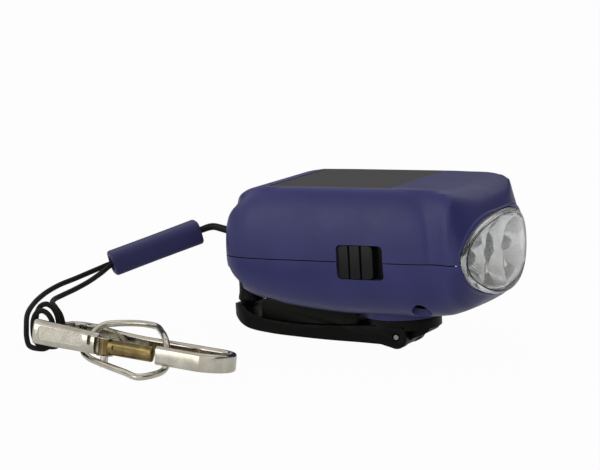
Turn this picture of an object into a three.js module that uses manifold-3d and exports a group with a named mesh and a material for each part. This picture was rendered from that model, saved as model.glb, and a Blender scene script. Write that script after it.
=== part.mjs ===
// A hand crank flashlight with a solar panel, lying on a flat surface with its crank folded under it.
// Lengths are in millimetres and angles in degrees. X runs from the cord end to the lens, Z is up,
// and the origin is under the middle of the flashlight, on the surface that it lies on.
// The flashlight leans back on its crank by a small angle, so its pieces are made level in a frame of
// their own and turned as one group. The cord, the bead and the carabiner lie beside it.
import * as THREE from 'three';
import { mergeVertices } from 'three/addons/utils/BufferGeometryUtils.js';
import Module from 'manifold-3d';

const wasm = await Module();
wasm.setup();

// Driving sizes.
const restTilt = 3.5; // nose up, in degrees
const clearance = 0.3; // between pieces that rest on or run in each other
const overrun = 5; // how far a cut runs past the face that it opens
const roundSides = 24;
const fineSides = 40;
const cornerSteps = 7;

const bodyLength = 96;
const bodyRear = -48.2;
const bodyHalfWidth = 27;
const noseInset = 0.1;
const noseHalfWidth = bodyHalfWidth - noseInset;
const partingHeight = 32.8;
const wingRise = 23.1;
const roofRise = 23.8;
const bellyDrop = 19.8;
const wall = 2;
const cornerPower = 2.2;
const wingFlatShare = 0.8;
const roofFlatShare = 0.83;
const bellyFlatShare = 0.45;
const cavityFrontShare = 0.87;

const crankX = 10.1; // the crank's axis, ahead of the middle of the body
const bossRadius = 14;
const bossUnderside = 11;
const shaftRadius = 3;
const shaftTop = 25;
const rotorRadius = 12.5;
const rotorUnderside = 8.4;
const rotorLipDrop = 1.3;
const rotorLipStart = 5;
const lugHalfWidth = 4.2;
const lugRadius = 3.7;
const lugClearance = 0.4;
const pinHeight = 4;
const pinRadius = 1.1;

const armHalfWidth = 7.5;
const armKnuckleRadius = 4;
const armSlotLength = 13.6;
const armTipMargin = 1; // past the knob
const armTipTopShare = 2.1; // of the knuckle's radius
const spineHalfWidth = 5;
const spineTop = 8.2; // above the pin
const spineRise = 3; // from its middle to its rear end
const spineFront = 15.6;
const spineRearGap = 6.8; // ahead of the knob's axis
const spineSlope = 3;
const knobReach = 59.4;
const knobRadius = 4.5;
const knobWaist = 0.35;
const knobLength = 9.8;
const knobGap = 0.6; // above the arm
const knobPinRadius = 1.6;
const knobPinHeadRadius = 2.9;
const knobPinHeadThickness = 1.1;
const pocketClearance = 0.5; // between the folded knob and the shell
const pocketHeadroom = 0.6;
// The pocket for the knob opens outward towards its top, at each height above its foot.
const pocketFlare = [[0, 0], [0.8, 0.9], [1.9, 2.4], [2.6, 4.2], [2.9, 5.9]];

const panelFront = 17.3;
const panelLength = 45;
const panelMargin = 6.5; // to the body's sides
const panelWidth = 2 * (bodyHalfWidth - panelMargin);
const panelThickness = 1.5;
const panelSeat = 1.6;
const panelWireRadius = 1.5;

const lensFront = 48.3;
const lensSweep = 3.6;
const lensMargin = 1.4;
const lensHalfWidth = bodyHalfWidth - lensMargin;
const lensHalfHeight = 13.7;
const lensHeight = 33.6;
const lensRim = 1.9;
const lensSkin = 1.6;
const lensDepth = 3.4;
const lensProud = 0.9;
const reflectorBack = 33.2;
const cupMargin = 1.7;
const cupSideHalfWidth = 7.4;
const cupPitch = lensHalfWidth - lensRim - cupSideHalfWidth - cupMargin;
const cupSideHalfHeight = 7.6;
const cupMiddleHalfWidth = 6.7;
const cupMiddleHalfHeight = 10.4;
const cupDepth = 11;
const cupFloor = 1; // above the reflector's back
const ledRadius = 2.5;
const ledFlange = 2.9;
const ledFlangeThickness = 1;
const ledLength = 8.6;
const ledBoardX = 30;
const ledBoardThickness = 1.6;
const ledBoardMargin = 7;
const ledBoardHalfWidth = bodyHalfWidth - ledBoardMargin;
const ledBoardHalfHeight = 4.6;
const lampBayX = 29;

const switchRear = -0.7;
const switchLength = 17;
const switchLow = 27;
const switchHigh = 38.5;
const switchBezel = 1.4;
const switchBezelDepth = 3.8;
const sliderLength = 12.7;
const sliderThickness = 3.2;
const sliderGroove = 0.7;
const sliderGrooveDepth = 0.9;
const switchBodyThickness = 3.4;
const switchBodyInset = 1.3;

const gearModule = 0.8;
const driveTeeth = 40;
const pinionTeeth = 10;
const wheelTeeth = 30;
const gearBacklash = 0.15;
const addendumShare = 0.7;
const dedendumShare = 1.1;
const rootWidthShare = 0.54;
const tipWidthShare = 0.24;
const driveGearLow = 19;
const gearThickness = 2.4;
const wheelThickness = 1.8;
const gearStep = 0.9;
const axleRadius = 1.5;
const hubRadius = 5;

const plateLow = 26.2;
const plateThickness = 1.5;
const plateFront = 20;
const plateRear = -38;
const plateMargin = 10;
const plateHalfWidth = bodyHalfWidth - plateMargin;
const postRadius = 2;
const postRearX = -34;
const postRearY = 10;
const postFrontX = -6;
const postMargin = 11.6;
const postFrontY = bodyHalfWidth - postMargin;
const canRadius = 11;
const canHeight = 10;
const canWall = 1;
const magnetRadius = 8;
const magnetThickness = 6;
const magnetGap = 1.2;
const batteryRadius = 8;
const batteryHeight = 12.6;
const boardLow = 42;
const boardThickness = 1.6;
const boardRear = -36;
const boardFront = 24;
const boardHalfWidth = bodyHalfWidth - plateMargin;
const standoffRadius = 1.8;
const standoffX = [-32, 20];
const standoffMargin = 15;
const standoffY = bodyHalfWidth - standoffMargin;

const screwX = [26, -30];
const screwMargins = [7.8, 10]; // to the body's sides
const screwY = screwMargins.map((margin) => bodyHalfWidth - margin);
const screwSeat = 22;
const screwHeadRadius = 2.5;
const screwHeadThickness = 1.6;
const screwShankRadius = 1.1;
const screwReach = 8;
const screwPostRadius = 3.6;
const screwBoreRadius = 3.3;

const cordHoleHeight = 36;
const cordHoleRadius = 2.7;
const anchorX = -41.6;
const anchorRadius = 1.4;
const anchorHalfHeight = 3.2;
const anchorBlock = 2.6;

const cordRadius = 0.9;
const cordSides = 8;
const cordSteps = 112;

const beadLength = 33.4;
const beadHalfWidth = 4.3;
const beadChamfer = 1.3;
const beadBore = 2.75;

const railHeight = 6;
const railThickness = 2.8;
const railTilt = 8;
const railPitch = 0.6;
const barHeight = 8.4;
const barEndHeight = 7;
const barThickness = 3.6;
const barLength = 27.8;
const ringNear = [-89, -72.6, 4];
const ringTurn = -4;
const ringWidth = 27;
const ringWaist = 18;
const ringLength = 74.5;
const pivotU = 30;
const pivotRadius = 1;
const gateLength = 19.1;
const gateThickness = 2.4;
const gateHeight = 5;
const noseU = 51;
const wireRadius = 1.1;
const wireSides = 10;
const wireSteps = 56;

// Shares of the body's length, width and height at each station, from the cord end to the lens.
const wingShares = [
  [0, 0.5, 0.3], [0.01, 0.66, 0.44], [0.03, 0.81, 0.57], [0.06, 0.9, 0.69], [0.1, 0.955, 0.81],
  [0.16, 0.99, 0.92], [0.24, 1, 0.98], [0.34, 1, 1], [0.5, 1, 1], [0.7, 1, 1],
  [0.75, 0.995, 0.985], [0.8, 0.985, 0.92], [0.835, 0.97, 0.8], [0.85, 0.955, 0.62], [0.868, 0.93, 0.3],
];
const roofShares = [
  [0.03, 0.46, 0.62], [0.04, 0.58, 0.72], [0.055, 0.67, 0.79], [0.08, 0.76, 0.86], [0.11, 0.83, 0.92],
  [0.15, 0.89, 0.97], [0.185, 0.92, 0.99], [0.21, 0.93, 1], [0.5, 0.93, 1], [0.7, 0.93, 1],
  [0.8, 0.93, 0.995], [0.86, 0.94, 0.98], [0.9, 0.965, 0.955], [0.94, 0.99, 0.88], [0.97, 1, 0.79],
  [1, 0.985, 0.65],
];
const bellyShares = [
  [0, 0.5, 0.22], [0.01, 0.66, 0.42], [0.03, 0.81, 0.55], [0.06, 0.9, 0.66], [0.1, 0.955, 0.755],
  [0.16, 0.99, 0.83], [0.24, 1, 0.895], [0.34, 1, 0.955], [0.5, 1, 1], [0.7, 0.995, 1],
  [0.8, 0.965, 0.985], [0.86, 0.95, 0.96], [0.9, 0.96, 0.91], [0.94, 0.985, 0.84], [0.97, 0.995, 0.74],
  [1, 0.98, 0.64],
];
// The crank arm seen from the side: shares of its reach behind the pin, and of the knuckle's radius
// above the pin.
const armTopShares = [
  [0.01, 1], [0.22, 0.82], [0.43, 0.7], [0.61, 0.73], [0.8, 1.1], [0.87, 1.55], [0.91, armTipTopShare],
  [0.97, armTipTopShare], [1, 1.95],
];
const armBottomShares = [
  [1, 1.4], [0.96, 0.9], [0.92, 0.45], [0.87, 0.08], [0.74, -0.25], [0.57, -0.43], [0.39, -0.55],
  [0.22, -0.6], [0.09, -0.66],
];
// The knuckle's arc, in half turns: where it starts, under the pin, and how far it goes round.
const knuckleStartShare = -0.62;
const knuckleArcShare = 1.12;
// The lug's ramp under the rotor: shares of the rotor's radius ahead of the pin, and of the lug's
// radius above it.
const lugArcShare = 0.6;
const rampShares = [[0.36, -0.28], [0.82, 0.45]];
const rampFrontShare = 0.94;
// The knob's outline: shares of its length at which its radius changes.
const knobFootShare = 0.12;
const knobWaistShares = [0.3, 0.75];
const knobCrownShare = 0.92;
const barStartShare = 0.012; // of the carabiner's length
const gateEyeShare = 0.9; // of the gate's thickness
// The carabiner's far side: shares of its length and width, and how much of the inset each takes.
const ringFarShares = [
  [0.46, ringWaist / ringWidth, 0, 1], [0.33, 0.735, 0, 1], [0.2, 0.88, 0, 1], [0.11, 1, 0, 1],
  [0.02, 1, 0, 1], [-0.012, 0.93, 1, 0.6], [-0.025, 0.84, 1, 0], [0, 0.1, 1, -0.2], [0.012, 0, 1, -1],
];

// Places that follow from the sizes.
const pinX = crankX;
const armTipReach = knobReach + knobRadius + armTipMargin;
const spineRear = knobReach - spineRearGap;
const knobLow = pinHeight + armKnuckleRadius * armTipTopShare + knobGap;
const pocketReach = knobReach - knobRadius - pocketClearance;
const pocketFoot = knobLow + knobLength + pocketHeadroom;
const pocketTop = pocketFoot + pocketFlare.at(-1)[1];
const tilt = THREE.MathUtils.degToRad(restTilt);
const lensCurve = (lensHalfWidth ** 2 + lensSweep ** 2) / (2 * lensSweep);
const drivePitch = (gearModule * driveTeeth) / 2;
const wheelPitch = (gearModule * wheelTeeth) / 2;
const pinionPitch = (gearModule * pinionTeeth) / 2;
const idlerX = crankX - (drivePitch + pinionPitch + gearBacklash);
const generatorX = idlerX - (wheelPitch + pinionPitch + gearBacklash);
// The tilted flashlight reaches from its crank's tip to the middle of its lens, seen from the pin.
const tipAbovePin = armKnuckleRadius * armTopShares.at(-1)[1];
const lensAbovePin = lensHeight - lensHalfHeight - pinHeight;
const tipBehindPin = Math.cos(tilt) * armTipReach + Math.sin(tilt) * tipAbovePin;
const lensBeforePin = Math.cos(tilt) * (lensFront - pinX) - Math.sin(tilt) * lensAbovePin;
const pinPlaceX = (tipBehindPin - lensBeforePin) / 2;

// Helpers.
function solid(geometry) {
  const bare = geometry.index ? geometry.toNonIndexed() : geometry.clone();
  bare.deleteAttribute('normal');
  bare.deleteAttribute('uv');
  const merged = mergeVertices(bare, 1e-4);
  return new wasm.Manifold(new wasm.Mesh({
    numProp: 3,
    vertProperties: merged.attributes.position.array,
    triVerts: new Uint32Array(merged.index.array),
  }));
}

function box(x0, x1, y0, y1, z0, z1) {
  const g = new THREE.BoxGeometry(x1 - x0, y1 - y0, z1 - z0);
  g.translate((x0 + x1) / 2, (y0 + y1) / 2, (z0 + z1) / 2);
  return solid(g);
}

function cylinder(radius, x, y, z0, z1, sides = roundSides, topRadius = radius) {
  const g = new THREE.CylinderGeometry(topRadius, radius, z1 - z0, sides);
  g.rotateX(Math.PI / 2);
  g.translate(x, y, (z0 + z1) / 2);
  return solid(g);
}

function cylinderAcross(radius, x, z, y0, y1, sides = roundSides) {
  const g = new THREE.CylinderGeometry(radius, radius, y1 - y0, sides);
  g.translate(x, (y0 + y1) / 2, z);
  return solid(g);
}

function extruded(points, depth, holes = []) {
  const shape = new THREE.Shape(points.map(([a, b]) => new THREE.Vector2(a, b)));
  for (const h of holes) shape.holes.push(new THREE.Path(h.map(([a, b]) => new THREE.Vector2(a, b))));
  return new THREE.ExtrudeGeometry(shape, { depth, bevelEnabled: false });
}

// A plan outline raised along Z.
function prismUp(points, z0, z1) {
  const g = extruded(points, z1 - z0);
  g.translate(0, 0, z0);
  return solid(g);
}

// A side outline, given as X and Z, made thick along Y.
function prismAcross(points, y0, y1) {
  const g = extruded(points, y1 - y0);
  g.rotateX(Math.PI / 2);
  g.translate(0, y1, 0);
  return solid(g);
}

// An oval around the lens axis, made long along X.
function ovalAlong(halfWidth, halfHeight, x0, x1) {
  const g = new THREE.CylinderGeometry(1, 1, x1 - x0, fineSides);
  g.rotateZ(Math.PI / 2);
  g.scale(1, halfWidth, halfHeight);
  g.translate((x0 + x1) / 2, 0, lensHeight);
  return solid(g);
}

// Everything behind the lens's curved front, moved back by a distance.
function behindArc(back) {
  const points = [];
  const reach = bodyHalfWidth + overrun;
  for (let i = 0; i <= roundSides; i++) {
    const y = reach * ((2 * i) / roundSides - 1);
    points.push([lensFront - back - (lensCurve - Math.sqrt(lensCurve ** 2 - y ** 2)), y]);
  }
  points.push([bodyRear - overrun, reach], [bodyRear - overrun, -reach]);
  return prismUp(points, -overrun, partingHeight + roofRise + overrun);
}

// One half of a body section, above or below the parting plane.
function halfRing(x, halfWidth, rise, flatShare, up) {
  const flat = halfWidth * flatShare;
  const ring = [];
  for (let i = 0; i <= cornerSteps; i++) {
    const a = (Math.PI / 2) * (i / cornerSteps);
    const y = flat + (halfWidth - flat) * Math.cos(a) ** (2 / cornerPower);
    const z = rise * Math.sin(a) ** (2 / cornerPower);
    ring.push([x, y, partingHeight + (up ? z : -z)]);
  }
  const mirrored = ring.map(([px, py, pz]) => [px, -py, pz]).reverse();
  return ring.concat(mirrored);
}

function loft(rings) {
  const n = rings[0].length;
  const vertices = rings.flat(2);
  const faces = [];
  for (let r = 0; r + 1 < rings.length; r++) {
    for (let i = 0; i < n; i++) {
      const a = r * n + i;
      const b = r * n + ((i + 1) % n);
      faces.push(a, b, b + n, a, b + n, a + n);
    }
  }
  const last = (rings.length - 1) * n;
  for (let i = 1; i + 1 < n; i++) {
    faces.push(0, i + 1, i);
    faces.push(last, last + i, last + i + 1);
  }
  const g = new THREE.BufferGeometry();
  g.setAttribute('position', new THREE.Float32BufferAttribute(vertices, 3));
  g.setIndex(faces);
  const made = solid(g);
  if (made.volume() > 0) return made;
  g.setIndex(faces.map((v, i) => faces[i - (i % 3) + (2 - (i % 3))]));
  return solid(g);
}

function bodyLoft(shares, halfWidth, rise, flatShare, up, inset = 0) {
  const used = inset ? shares.filter(([s]) => s <= cavityFrontShare) : shares;
  return loft(used.map(([s, w, h]) => {
    const x = bodyRear + inset + s * (bodyLength - inset);
    return halfRing(x, w * halfWidth - inset, h * rise - inset, flatShare, up);
  }));
}

function union(...parts) {
  return parts.reduce((a, b) => a.add(b));
}

function cut(base, ...tools) {
  return tools.reduce((a, b) => a.subtract(b), base);
}

function surface(colour, roughness, metalness = 0, extra = {}) {
  return new THREE.MeshStandardMaterial({ color: colour, roughness, metalness, ...extra });
}

function addSolid(parent, name, made, material) {
  const m = made.getMesh();
  const g = new THREE.BufferGeometry();
  g.setAttribute('position', new THREE.BufferAttribute(new Float32Array(m.vertProperties), 3));
  g.setIndex(new THREE.BufferAttribute(new Uint32Array(m.triVerts), 1));
  g.computeVertexNormals();
  const mesh = new THREE.Mesh(g, material);
  mesh.name = name;
  parent.add(mesh);
  return mesh;
}

// Gear outline with straight-sided teeth, one of them centred at the angle called phase.
function gear(teeth, x, z0, z1, phase, bore) {
  const pitch = (gearModule * teeth) / 2;
  const tip = pitch + addendumShare * gearModule;
  const root = pitch - dedendumShare * gearModule;
  const tooth = [
    [root, -rootWidthShare], [tip, -tipWidthShare], [tip, tipWidthShare], [root, rootWidthShare],
  ];
  const step = (2 * Math.PI) / teeth;
  const points = [];
  for (let i = 0; i < teeth; i++) {
    const a = phase + i * step;
    for (const [r, share] of tooth) {
      const b = a + (share * step) / 2;
      points.push([x + r * Math.cos(b), r * Math.sin(b)]);
    }
  }
  const blank = prismUp(points, z0, z1);
  return bore ? cut(blank, cylinder(bore, x, 0, z0 - overrun, z1 + overrun, roundSides)) : blank;
}

// The two half shells.
function upperOutside() {
  const wing = bodyLoft(wingShares, bodyHalfWidth, wingRise, wingFlatShare, true);
  const roof = bodyLoft(roofShares, noseHalfWidth, roofRise, roofFlatShare, true);
  return wing.add(roof).intersect(behindArc(lensProud));
}

function lowerOutside() {
  const belly = bodyLoft(bellyShares, bodyHalfWidth, bellyDrop, bellyFlatShare, false)
    .intersect(behindArc(lensProud));
  const rear = box(bodyRear - overrun, bodyRear + bodyLength / 2, -bodyHalfWidth, bodyHalfWidth,
    0, pocketTop);
  const boss = cylinder(bossRadius, crankX, 0, bossUnderside, bossUnderside + wall * 2, fineSides);
  return belly.subtract(rear.subtract(insidePocket(0))).add(boss);
}

// Everything on the crank's side of the knob's pocket, drawn in by an inset.
function insidePocket(inset) {
  const points = [[0, -overrun], [pocketReach - inset, -overrun]];
  for (const [out, up] of pocketFlare) points.push([pocketReach + out - inset, pocketFoot + up + inset]);
  const top = partingHeight + overrun;
  points.push([pocketReach + pocketFlare.at(-1)[0] - inset, top], [0, top]);
  const g = new THREE.LatheGeometry(points.map(([r, z]) => new THREE.Vector2(r, z)), fineSides * 2);
  g.rotateX(Math.PI / 2);
  g.translate(crankX, 0, 0);
  return solid(g);
}

function lampBay() {
  const seat = ovalAlong(lensHalfWidth + clearance, lensHalfHeight + clearance, lampBayX, lensFront + overrun)
    .subtract(behindArc(lensDepth + clearance));
  const inner = lensRim - clearance;
  const bay = ovalAlong(lensHalfWidth - inner, lensHalfHeight - inner, lampBayX, lensFront);
  return seat.add(bay);
}

function switchFrame() {
  const outer = -bodyHalfWidth - overrun;
  return box(switchRear - switchBezel, switchRear + switchLength + switchBezel, outer,
    -bodyHalfWidth + switchBezelDepth, switchLow - switchBezel, switchHigh + switchBezel);
}

function switchWindow() {
  return box(switchRear, switchRear + switchLength, -bodyHalfWidth - overrun,
    -bodyHalfWidth + switchBezelDepth + overrun, switchLow, switchHigh);
}

function screwPlaces() {
  return screwX.flatMap((x, i) => [[x, -screwY[i]], [x, screwY[i]]]);
}

function aboveParting() {
  return box(bodyRear - overrun, lensFront + overrun, -bodyHalfWidth - overrun, bodyHalfWidth + overrun,
    partingHeight + clearance / 2, partingHeight + roofRise + overrun);
}

function belowParting() {
  return box(bodyRear - overrun, lensFront + overrun, -bodyHalfWidth - overrun, bodyHalfWidth + overrun,
    -overrun, partingHeight - clearance / 2);
}

function upperShell() {
  const outside = upperOutside();
  const roofTop = partingHeight + roofRise;
  const hollow = union(
    bodyLoft(wingShares, bodyHalfWidth, wingRise, wingFlatShare, true, wall),
    bodyLoft(roofShares, noseHalfWidth, roofRise, roofFlatShare, true, wall),
  );
  const anchorTop = partingHeight + anchorHalfHeight * 2 + clearance * 2;
  const added = [switchFrame(), anchorBlockSolid(anchorTop, roofTop)];
  const panelSide = panelWidth / 2 + wall;
  added.push(box(panelFront - panelLength - wall, panelFront + wall, -panelSide, panelSide,
    roofTop - panelSeat - wall, roofTop));
  for (const [x, y] of screwPlaces()) added.push(cylinder(screwPostRadius, x, y, partingHeight, roofTop));
  for (const x of standoffX) {
    for (const y of [-standoffY, standoffY]) {
      added.push(cylinder(standoffRadius, x, y, boardLow + boardThickness + clearance, roofTop));
    }
  }
  let shell = outside.subtract(hollow).add(union(...added).intersect(outside));
  shell = cut(shell, lampBay(), switchWindow(), cordHole(), panelRecess(roofTop));
  for (const [x, y] of screwPlaces()) {
    shell = shell.subtract(cylinder(screwShankRadius + clearance, x, y, partingHeight - overrun,
      partingHeight + screwReach + clearance, roundSides / 2));
  }
  return shell.intersect(aboveParting());
}

function panelRecess(roofTop) {
  const c = clearance;
  const seat = box(panelFront - panelLength - c, panelFront + c, -panelWidth / 2 - c, panelWidth / 2 + c,
    roofTop - panelSeat - c, roofTop + overrun);
  const wires = cylinder(panelWireRadius, panelFront - panelLength / 2, 0, boardLow, roofTop,
    roundSides / 2);
  return seat.add(wires);
}

function anchorBlockSolid(z0, z1) {
  return box(anchorX - anchorBlock, anchorX + anchorBlock, -anchorBlock, anchorBlock, z0, z1);
}

function cordHole() {
  const g = new THREE.CylinderGeometry(cordHoleRadius, cordHoleRadius, overrun + wall * 2, roundSides);
  g.rotateZ(Math.PI / 2);
  g.translate(bodyRear + wall - overrun / 2, 0, cordHoleHeight);
  return solid(g);
}

function lowerShell() {
  const outside = lowerOutside();
  const overPocket = box(bodyRear, lensFront, -bodyHalfWidth, bodyHalfWidth,
    pocketTop + wall / 2, partingHeight + overrun);
  const hollow = bodyLoft(bellyShares, bodyHalfWidth, bellyDrop, bellyFlatShare, false, wall)
    .intersect(insidePocket(wall).add(overPocket));
  const added = [switchFrame(), anchorBlockSolid(pocketFoot, partingHeight)];
  added.push(cylinder(bossRadius - wall, crankX, 0, bossUnderside, bossUnderside + wall * 2));
  added.push(cylinder(hubRadius + wall, crankX, 0, bossUnderside, driveGearLow - clearance));
  added.push(cylinder(axleRadius + wall, idlerX, 0, partingHeight - bellyDrop,
    driveGearLow - clearance * 2));
  for (const [x, y] of screwPlaces()) {
    added.push(cylinder(screwPostRadius + wall / 2, x, y, 0, partingHeight));
  }
  for (const [x, y] of [[postRearX, postRearY], [postFrontX, postFrontY]]) {
    for (const side of [-y, y]) added.push(cylinder(postRadius, x, side, 0, plateLow - clearance));
  }
  let shell = outside.subtract(hollow).add(union(...added).intersect(outside));
  shell = cut(shell, lampBay(), switchWindow());
  shell = shell.subtract(cylinder(shaftRadius + clearance, crankX, 0, -overrun, driveGearLow, roundSides));
  shell = shell.subtract(cylinder(axleRadius + clearance, idlerX, 0, partingHeight - bellyDrop + wall,
    driveGearLow + overrun, roundSides / 2));
  for (const [x, y] of screwPlaces()) {
    shell = shell.subtract(cylinder(screwBoreRadius, x, y, -overrun, screwSeat, roundSides));
    shell = shell.subtract(cylinder(screwShankRadius + clearance, x, y, 0, partingHeight + overrun,
      roundSides / 2));
  }
  return shell.intersect(belowParting());
}

// Optics.
function frontLens() {
  const full = ovalAlong(lensHalfWidth, lensHalfHeight, lampBayX, lensFront + overrun)
    .intersect(behindArc(0));
  const back = behindArc(lensDepth);
  const inside = ovalAlong(lensHalfWidth - lensRim, lensHalfHeight - lensRim, lampBayX, lensFront + overrun)
    .intersect(behindArc(lensSkin));
  return full.subtract(back).subtract(inside);
}

function cup(y, halfWidth, halfHeight) {
  const points = [new THREE.Vector2(0, -overrun), new THREE.Vector2(ledFlange, -overrun)];
  for (let i = 0; i <= cornerSteps; i++) {
    const along = i / cornerSteps;
    points.push(new THREE.Vector2(ledFlange + (halfWidth - ledFlange) * Math.sqrt(along), cupDepth * along));
  }
  points.push(new THREE.Vector2(halfWidth, cupDepth + overrun), new THREE.Vector2(0, cupDepth + overrun));
  const g = new THREE.LatheGeometry(points, roundSides);
  g.rotateZ(-Math.PI / 2);
  g.scale(1, 1, halfHeight / halfWidth);
  g.translate(reflectorBack + cupFloor, y, lensHeight);
  return solid(g);
}

function reflector() {
  const edge = lensRim + clearance;
  const block = ovalAlong(lensHalfWidth - edge, lensHalfHeight - edge, reflectorBack, lensFront + overrun)
    .intersect(behindArc(lensSkin + clearance));
  return cut(block, cup(0, cupMiddleHalfWidth, cupMiddleHalfHeight),
    cup(-cupPitch, cupSideHalfWidth, cupSideHalfHeight), cup(cupPitch, cupSideHalfWidth, cupSideHalfHeight));
}

function ledBoard() {
  return box(ledBoardX, ledBoardX + ledBoardThickness, -ledBoardHalfWidth, ledBoardHalfWidth,
    lensHeight - ledBoardHalfHeight, lensHeight + ledBoardHalfHeight);
}

function led(y) {
  const foot = ledFlange - clearance;
  const points = [[0, 0], [foot, 0], [foot, ledFlangeThickness], [ledRadius, ledFlangeThickness]]
    .map(([r, along]) => new THREE.Vector2(r, along));
  const shoulder = ledLength - ledRadius;
  for (let i = 0; i <= cornerSteps; i++) {
    const a = (Math.PI / 2) * (i / cornerSteps);
    const r = i === cornerSteps ? 0 : ledRadius * Math.cos(a);
    points.push(new THREE.Vector2(r, shoulder + ledRadius * Math.sin(a)));
  }
  const g = new THREE.LatheGeometry(points, roundSides / 2);
  g.rotateZ(-Math.PI / 2);
  g.translate(ledBoardX + ledBoardThickness + clearance, y, lensHeight);
  return solid(g);
}

// Switch.
function switchSlider() {
  const inner = -bodyHalfWidth + switchBezelDepth;
  const x0 = switchRear + clearance;
  let s = box(x0, x0 + sliderLength, inner - sliderThickness, inner,
    switchLow + clearance, switchHigh - clearance);
  for (const share of [1 / 3, 2 / 3]) {
    const x = x0 + sliderLength * share;
    s = s.subtract(box(x - sliderGroove / 2, x + sliderGroove / 2, inner - sliderThickness - overrun,
      inner - sliderThickness + sliderGrooveDepth, 0, partingHeight * 2));
  }
  return s;
}

function switchBody() {
  const outer = -bodyHalfWidth + switchBezelDepth + clearance;
  return box(switchRear - switchBezel, switchRear + switchLength + switchBezel,
    outer, outer + switchBodyThickness, switchLow - switchBodyInset, switchHigh + switchBodyInset);
}

// Crank.
function crankRotor() {
  const top = bossUnderside - clearance;
  const disc = cylinder(rotorRadius, crankX, 0, rotorUnderside, top, fineSides);
  const lip = cylinder(rotorRadius, crankX, 0, rotorUnderside - rotorLipDrop, top, fineSides)
    .intersect(box(crankX + rotorLipStart, crankX + bodyHalfWidth, -bodyHalfWidth, bodyHalfWidth, 0, top));
  const ramp = [];
  for (let i = 0; i <= cornerSteps; i++) {
    const a = Math.PI + Math.PI * lugArcShare * (i / cornerSteps);
    ramp.push([pinX + lugRadius * Math.cos(a), pinHeight + lugRadius * Math.sin(a)]);
  }
  for (const [ahead, up] of rampShares) ramp.push([pinX + rotorRadius * ahead, pinHeight + lugRadius * up]);
  const rampFront = pinX + rotorRadius * rampFrontShare;
  ramp.push([rampFront, rotorUnderside - clearance], [rampFront, top], [pinX - lugRadius, top]);
  const lug = prismAcross(ramp, -lugHalfWidth, lugHalfWidth);
  const pinHole = hingeHole();
  const shaftBore = cylinder(shaftRadius - wall / 2 + clearance, crankX, 0,
    rotorUnderside - clearance, top + overrun);
  return cut(union(disc, lip, lug), pinHole, shaftBore);
}

function crankShaft() {
  const stub = cylinder(shaftRadius - wall / 2, crankX, 0, rotorUnderside, bossUnderside);
  return stub.add(cylinder(shaftRadius, crankX, 0, bossUnderside, shaftTop));
}

function armProfile() {
  const points = [];
  for (let i = 0; i <= cornerSteps * 2; i++) {
    const a = Math.PI * (knuckleStartShare + (knuckleArcShare * i) / (cornerSteps * 2));
    points.push([pinX + armKnuckleRadius * Math.cos(a), pinHeight + armKnuckleRadius * Math.sin(a)]);
  }
  for (const [along, up] of armTopShares.concat(armBottomShares)) {
    points.push([pinX - armTipReach * along, pinHeight + armKnuckleRadius * up]);
  }
  return points;
}

function crankArm() {
  const long = prismAcross(armProfile(), -armHalfWidth, armHalfWidth);
  const tipCentre = pinX - armTipReach + armHalfWidth;
  const front = pinX + armKnuckleRadius + overrun;
  const roundTip = cylinder(armHalfWidth, tipCentre, 0, -overrun, partingHeight, fineSides)
    .add(box(tipCentre, front, -armHalfWidth, armHalfWidth, -overrun, partingHeight));
  const slot = box(pinX - armSlotLength, front, -lugHalfWidth - lugClearance, lugHalfWidth + lugClearance,
    -overrun, partingHeight);
  const pinHole = hingeHole();
  const knobHole = cylinder(knobPinRadius + clearance, pinX - knobReach, 0, pinHeight + armKnuckleRadius,
    partingHeight, roundSides / 2);
  return cut(long.intersect(roundTip).add(armSpine()), slot, pinHole, knobHole);
}

// The raised rib along the arm's top.
function armSpine() {
  const rear = pinX - spineRear;
  const front = pinX - spineFront;
  const top = pinHeight + spineTop;
  const rearTop = top + spineRise;
  return prismAcross([
    [rear, pinHeight], [front, pinHeight], [front, top - spineSlope / 2], [front - spineSlope, top],
    [(rear + front) / 2, top], [rear + spineSlope, rearTop], [rear, rearTop - spineSlope / 2],
  ], -spineHalfWidth, spineHalfWidth);
}

function knob() {
  const bore = knobPinRadius + clearance;
  const sink = knobPinHeadRadius + clearance;
  const sinkFloor = knobLength - knobPinHeadThickness - clearance;
  const waist = knobRadius - knobWaist;
  const points = [
    [bore, 0], [knobRadius, 0], [knobRadius, knobLength * knobFootShare],
    [waist, knobLength * knobWaistShares[0]], [waist, knobLength * knobWaistShares[1]],
    [knobRadius, knobLength * knobCrownShare], [waist, knobLength],
    [sink, knobLength], [sink, sinkFloor], [bore, sinkFloor], [bore, 0],
  ];
  const g = new THREE.LatheGeometry(points.map(([r, z]) => new THREE.Vector2(r, z)), roundSides);
  g.rotateX(Math.PI / 2);
  g.translate(pinX - knobReach, 0, knobLow);
  return solid(g);
}

function knobPin() {
  const top = knobLow + knobLength;
  const shank = cylinder(knobPinRadius, pinX - knobReach, 0, pinHeight + armKnuckleRadius + clearance,
    top - knobPinHeadThickness);
  return shank.add(cylinder(knobPinHeadRadius, pinX - knobReach, 0, top - knobPinHeadThickness, top));
}

function hingeHole() {
  return cylinderAcross(pinRadius + clearance, pinX, pinHeight, -bodyHalfWidth, bodyHalfWidth,
    roundSides / 2);
}

function hingePin() {
  return cylinderAcross(pinRadius, pinX, pinHeight, -armHalfWidth, armHalfWidth, roundSides / 2);
}

// Drive train and electrics.
function driveGear() {
  const low = driveGearLow;
  const teeth = gear(driveTeeth, crankX, low, low + gearThickness, Math.PI, shaftRadius + clearance);
  const hub = cut(cylinder(hubRadius, crankX, 0, low, low + gearThickness + gearStep * 2),
    cylinder(shaftRadius + clearance, crankX, 0, 0, partingHeight));
  return teeth.add(hub);
}

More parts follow.
